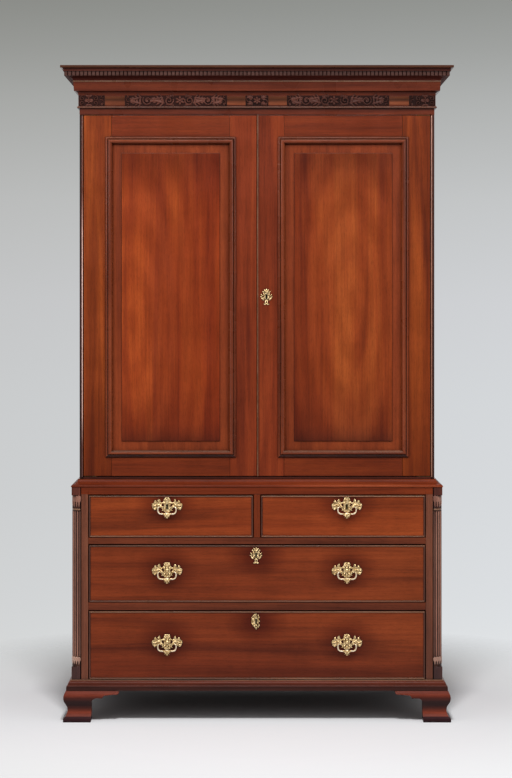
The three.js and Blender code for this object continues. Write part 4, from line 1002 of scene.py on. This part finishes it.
handle = {
    'pivotAcross': 0.302, 'plateFace': -0.27415, 'grain': 0.0007, 'keep': 0.35,
    'pivotUp': {'short': 0.7205, 'middle': 0.502, 'bottom': 0.2605},
    'clearAcross': 0.004, 'clearUp': 0.02, 'holeBehind': 0.0014,
    'lobes': (
        (-0.0086, 0.0232, 0.0046, 0.0024, 55, 125, 0.003), (-0.0036, 0.0262, 0.0046, 0.0022, 75, 105, 0.003),
        (0, 0.0192, 0.0105, 0.0022, 0, 0.0026), (0, 0.0232, 0.0036, 0.002, 0, 0.0036),
        (-0.009, 0.0125, 0.0042, 0.0032, 30, -30, 0.0034), (0, 0.0135, 0.004, 0.0034, 0, 0.0042),
        (0, 0.0035, 0.0062, 0.0072, 0, 0.0048), (-0.0085, -0.0085, 0.0046, 0.0034, 60, -60, 0.0036),
        (0, -0.0115, 0.0044, 0.0034, 0, 0.0044), (-0.0155, -0.0125, 0.004, 0.002, 20, -20, 0.0026),
        (0, -0.018, 0.0034, 0.004, 0, 0.0034), (-0.0185, 0.001, 0.0088, 0.0021, -42, 42, 0.0028),
        (-0.0195, 0.0115, 0.0075, 0.0019, 12, -12, 0.0026), (-0.0395, 0.0035, 0.0066, 0.0036, 16, -16, 0.0044),
        (-0.041, -0.0085, 0.0044, 0.004, 0, 0.0036), (0.0425, -0.0065, 0.005, 0.0052, 0, 0.0034),
        (-0.0475, 0.0005, 0.0056, 0.0022, 80, 0.003), (0.0475, 0.001, 0.0062, 0.0022, 100, 0.003),
        (-0.0395, 0.015, 0.0052, 0.0021, 118, 62, 0.003), (-0.0295, 0.0165, 0.0062, 0.0022, 96, 0.003),
        (0.0285, 0.0165, 0.0062, 0.0022, 84, 0.003), (-0.029, 0.0055, 0.0048, 0.0042, 0, 0, 0.003),
    ),
}
escutcheon = {
    'grain': 0.0006, 'keep': 0.35, 'aside': -0.003, 'lift': 0.0012, 'rise': 0.1,
    'leafy': (
        (0, 0.0005, 0.0125, 0.0092, 90, 0.0014), (0, 0.0215, 0.0062, 0.003, 90, 0.0032),
        (-0.0056, 0.0198, 0.006, 0.0027, 112, 68, 0.003), (-0.0102, 0.0148, 0.0058, 0.0026, 138, 42, 0.003),
        (0, 0.0145, 0.0056, 0.0024, 0, 0.0036), (-0.0088, 0.0062, 0.0064, 0.0025, 100, 80, 0.0036),
        (-0.0086, -0.0055, 0.0064, 0.0025, 76, 104, 0.0036), (-0.0152, 0.0048, 0.0062, 0.0021, 132, 48, 0.0028),
        (-0.0164, -0.0022, 0.0064, 0.0021, 140, 40, 0.0028), (-0.013, -0.0092, 0.006, 0.0021, 136, 44, 0.0028),
        (0, -0.0135, 0.0066, 0.0026, 0, 0.0034), (-0.0034, -0.0195, 0.0056, 0.0022, 84, 96, 0.0032),
        (0, -0.0245, 0.0044, 0.0028, 0, 0.0034), (0.0062, -0.0262, 0.0042, 0.0021, 24, 156, 0.003),
    ),
    'broken': (
        (-0.0035, 0.0015, 0.0195, 0.0098, 84, 0.0014), (-0.0142, 0.004, 0.012, 0.0021, 84, 0.0036),
        (-0.0108, -0.0118, 0.0072, 0.0021, 126, 0.0036), (-0.0092, 0.0188, 0.0072, 0.0022, 52, 0.0036),
        (-0.0095, 0.0025, 0.0082, 0.0032, 88, 0.003), (-0.0012, 0.0232, 0.0048, 0.0024, 20, 0.0032),
        (0.0072, 0.0182, 0.0052, 0.0026, 100, 0.0034), (0.0098, 0.0122, 0.0044, 0.0026, 60, 0.0034),
        (0.0078, 0.0042, 0.0046, 0.0024, 96, 0.0034), (0.0102, -0.0008, 0.0042, 0.0022, 30, 0.0032),
        (0.0062, -0.0068, 0.0042, 0.0024, 80, 0.0034), (0.0102, -0.0128, 0.0044, 0.0024, 110, 0.0034),
        (0.0072, -0.0192, 0.0052, 0.0023, 62, 0.0034), (-0.0042, -0.0192, 0.0064, 0.0021, 126, 0.0036),
        (0.0004, -0.0242, 0.005, 0.0024, 90, 0.0034), (0.0018, -0.0148, 0.0052, 0.0026, 110, 0.003),
    ),
}
keyhole = {'radius': 0.0031, 'sides': 20, 'edge': edges['hairline'], 'slot': 0.0021, 'up': 0.0045, 'down': 0.0088,
           'deep': 0.0026}
leafDrop = {
    'head': 0.0222, 'reach': 0.0125,
    'lobes': (
        (0, -0.031, 0.0088, 0.0016, 90, 0.0046), (0, -0.0245, 0.0052, 0.0026, 0, 0.0036),
        (-0.0062, -0.0268, 0.006, 0.0019, 24, -24, 0.0034), (-0.0048, -0.0312, 0.0058, 0.0019, 48, -48, 0.0034),
        (-0.0016, -0.0358, 0.0044, 0.0016, 66, -66, 0.003)),
}


def pivotUp(nodeName):
    return handle['pivotUp'][nodeName.split('_')[0]]


def castPlate(nodeName):
    low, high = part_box(nodeName)
    across, up = math.copysign(handle['pivotAcross'], low.x + high.x), pivotUp(nodeName)
    lobes = lobesAt(handle['lobes'], across, up)
    if nodeName.startswith('short'):
        lobes = [lobe for lobe in lobes
                 if abs(lobe[0] - across) > handle['clearAcross'] or lobe[1] - up > handle['clearUp']]
        makeKeyhole(nodeName, across, up, handle['plateFace'] + handle['holeBehind'])
    piece = carve(nodeName + '_finish', lobes, handle['plateFace'], handle, copyNode(nodeName, nodeName + '_finish'))
    place(piece, brass, 'brass', bodyOf(nodeName), nodeName)


def castEscutcheon(nodeName):
    low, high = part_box(nodeName)
    middle, half = (low + high) / 2, (high - low) / 2
    across, up = middle.x, middle.z + half.z * escutcheon['rise']
    if 'door' not in nodeName:
        across, up = across + escutcheon['aside'], up - escutcheon['lift']
    shape = escutcheon['broken' if 'bottom' in nodeName else 'leafy']
    piece = carve(nodeName + '_finish', lobesAt(shape, across, up), high.y, escutcheon)
    place(piece, brass, 'brass', bodyOf(nodeName), nodeName)
    makeKeyhole(nodeName, across, up, high.y)


# The dark of a keyhole: a round head and a slot under it
def makeKeyhole(nodeName, across, up, back):
    front = back - keyhole['deep']
    head = roundBar(nodeName + '_keyholeHead', (across, (front + back) / 2, up + keyhole['up']), keyhole['deep'],
                    keyhole, 90)
    slot = board(nodeName + '_keyholeSlot', (across - keyhole['slot'], front, up - keyhole['down']),
                 (across + keyhole['slot'], back, up + keyhole['up']), keyhole['edge'])
    place(head, keyholeShade, 'brass', bodyOf(nodeName))
    place(slot, keyholeShade, 'brass', bodyOf(nodeName))


def castBail(nodeName):
    low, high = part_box(nodeName)
    across, up = (low.x + high.x) / 2, pivotUp(nodeName)
    piece = carve(nodeName + '_finish', lobesAt(leafDrop['lobes'], across, up), (low.y + high.y) / 2, handle,
                  copyNode(nodeName, nodeName + '_finish'))
    place(piece, bailBrass, 'brass', bodyOf(nodeName), nodeName)
    paintFaces(piece, (brass, lambda centre, normal:
                       centre.z < up - leafDrop['head'] and abs(centre.x - across) < leafDrop['reach']))


for nodeName in frame['nodes']:
    if 'drawer' in nodeName and 'plate' in nodeName:
        castPlate(nodeName)
    elif 'escutcheon' in nodeName:
        castEscutcheon(nodeName)
    elif 'bail' in nodeName:
        castBail(nodeName)
    elif 'pivot' in nodeName:
        dress(nodeName, darkBrass, 'brass', edges['small'])
print('brass done')


# Floor, world, lamps and camera

stage = {'floorRadius': 3.2, 'floorColour': (227, 227, 229), 'fadeFrom': 0.27, 'fadeTo': 0.55}


# A round of paper that fades into the backdrop
def makeFloor():
    clearSelection()
    bpy.ops.mesh.primitive_circle_add(vertices=96, radius=stage['floorRadius'], fill_type='NGON', location=(0, 0, 0))
    floor = settle(bpy.context.object, 'studioFloor')
    material = bpy.data.materials.new('studioPaper')
    tree = startTree(material)
    far = around(tree, addNode(tree, 'ShaderNodeTexCoord').outputs['Object'], (0, 0, 0), (1, 1, 1))[1]
    fade = ramp(tree, reckon(tree, 'DIVIDE', far, stage['floorRadius']),
                [(stage['fadeFrom'], 0.0), (stage['fadeTo'], 1.0)])
    paper = addNode(tree, 'ShaderNodeBsdfDiffuse', {'Color': linear(*stage['floorColour'])})
    clear = addNode(tree, 'ShaderNodeBsdfTransparent')
    blend = addNode(tree, 'ShaderNodeMixShader', {0: fade, 1: paper.outputs['BSDF'], 2: clear.outputs['BSDF']})
    addNode(tree, 'ShaderNodeOutputMaterial', {'Surface': blend.outputs['Shader']})
    floor.data.materials.append(material)


# The backdrop that the camera and mirrors see, from its foot up, and the light that comes from all round
sky = {
    'upward': [
        (0.275, (246, 248, 249)), (0.305, (240, 242, 243)), (0.33, (225, 228, 230)), (0.357, (220, 223, 226)),
        (0.404, (215, 218, 221)), (0.451, (212, 215, 218)), (0.499, (207, 209, 212)), (0.523, (202, 204, 206)),
        (0.547, (196, 198, 199)), (0.571, (186, 188, 188)), (0.595, (175, 177, 176)), (0.618, (160, 162, 160)),
        (0.64, (147, 149, 146))],
    'sideways': [(0.38, (243, 242, 240)), (0.62, 1.0)],
    'fillUpward': [(0.5, 0.05), (0.85, 1.0)], 'fillBehind': [(0.4, 0.6), (0.9, 0.1)],
}


def makeWorld():
    world = bpy.data.worlds.new('studio')
    bpy.context.scene.world = world
    tree = startTree(world)
    coords = addNode(tree, 'ShaderNodeTexCoord').outputs['Generated']
    lift, sideways, behind = (reckon(tree, 'ADD', part(tree, coords, axis), 0.5) for axis in 'ZXY')
    seen = tint(tree, ramp(tree, lift, sky['upward']), sideways, sky['sideways'])
    fill = tint(tree, ramp(tree, lift, sky['fillUpward']), behind, sky['fillBehind'])
    backdrop = addNode(tree, 'ShaderNodeBackground', {'Color': seen})
    ambient = addNode(tree, 'ShaderNodeBackground', {'Color': fill})
    path = addNode(tree, 'ShaderNodeLightPath').outputs
    mirrored = reckon(tree, 'MAXIMUM', path['Is Glossy Ray'], path['Is Transmission Ray'])
    direct = reckon(tree, 'MAXIMUM', path['Is Camera Ray'], mirrored)
    blend = addNode(tree, 'ShaderNodeMixShader', {
        0: direct, 1: ambient.outputs['Background'], 2: backdrop.outputs['Background']})
    addNode(tree, 'ShaderNodeOutputWorld', {'Surface': blend.outputs['Shader']})


# The paper has a lamp of its own, which lights nothing else, so that its shadow is as sharp as it should be
lamps = {
    'overheadSoftbox': {'at': (0, -3.4, 4.4), 'aim': (0, 0, 1.0), 'size': 2.6, 'power': 130},
    'leftSoftbox': {'at': (-3.3, -3.3, 3.3), 'aim': (0, 0, 1.0), 'size': 2.2, 'power': 95},
    'rightSoftbox': {'at': (3.3, -3.3, 3.3), 'aim': (0, 0, 1.0), 'size': 2.2, 'power': 88},
    'rearSoftbox': {'at': (0, 3.4, 3.2), 'aim': (0, 0, 1.0), 'size': 2.4, 'power': 120},
    'paperSoftbox': {'at': (0, -3.1, 4.8), 'aim': (0, -0.5, 0), 'size': 0.8, 'power': 232},
}


def makeLamps():
    for lampName, lamp in lamps.items():
        light = bpy.data.lights.new(lampName, 'AREA')
        light.size = lamp['size']
        light.energy = lamp['power']
        holder = addObject(lampName, light)
        holder.location = lamp['at']
        holder.rotation_euler = (Vector(lamp['aim']) - Vector(lamp['at'])).to_track_quat('-Z', 'Y').to_euler()
        group = bpy.data.collections.new(lampName + 'Receivers')
        group.objects.link(bpy.data.objects['studioFloor'])
        if lampName != 'paperSoftbox':
            group.collection_objects[0].light_linking.link_state = 'EXCLUDE'
        holder.light_linking.receiver_collection = group


camera = {'across': -0.0033, 'away': 7.2725, 'height': 1.42, 'lens': 96.4, 'shift': -0.1166}


def makeCamera():
    lens = bpy.data.cameras.new('view')
    lens.lens = camera['lens']
    lens.sensor_width = 36
    lens.shift_y = camera['shift']
    holder = addObject('view', lens)
    holder.location = (camera['across'], -camera['away'], camera['height'])
    holder.rotation_euler = (math.radians(90), 0, 0)
    bpy.context.scene.camera = holder


makeFloor()
makeWorld()
makeLamps()
makeCamera()
clearSelection()

print('scene ready')
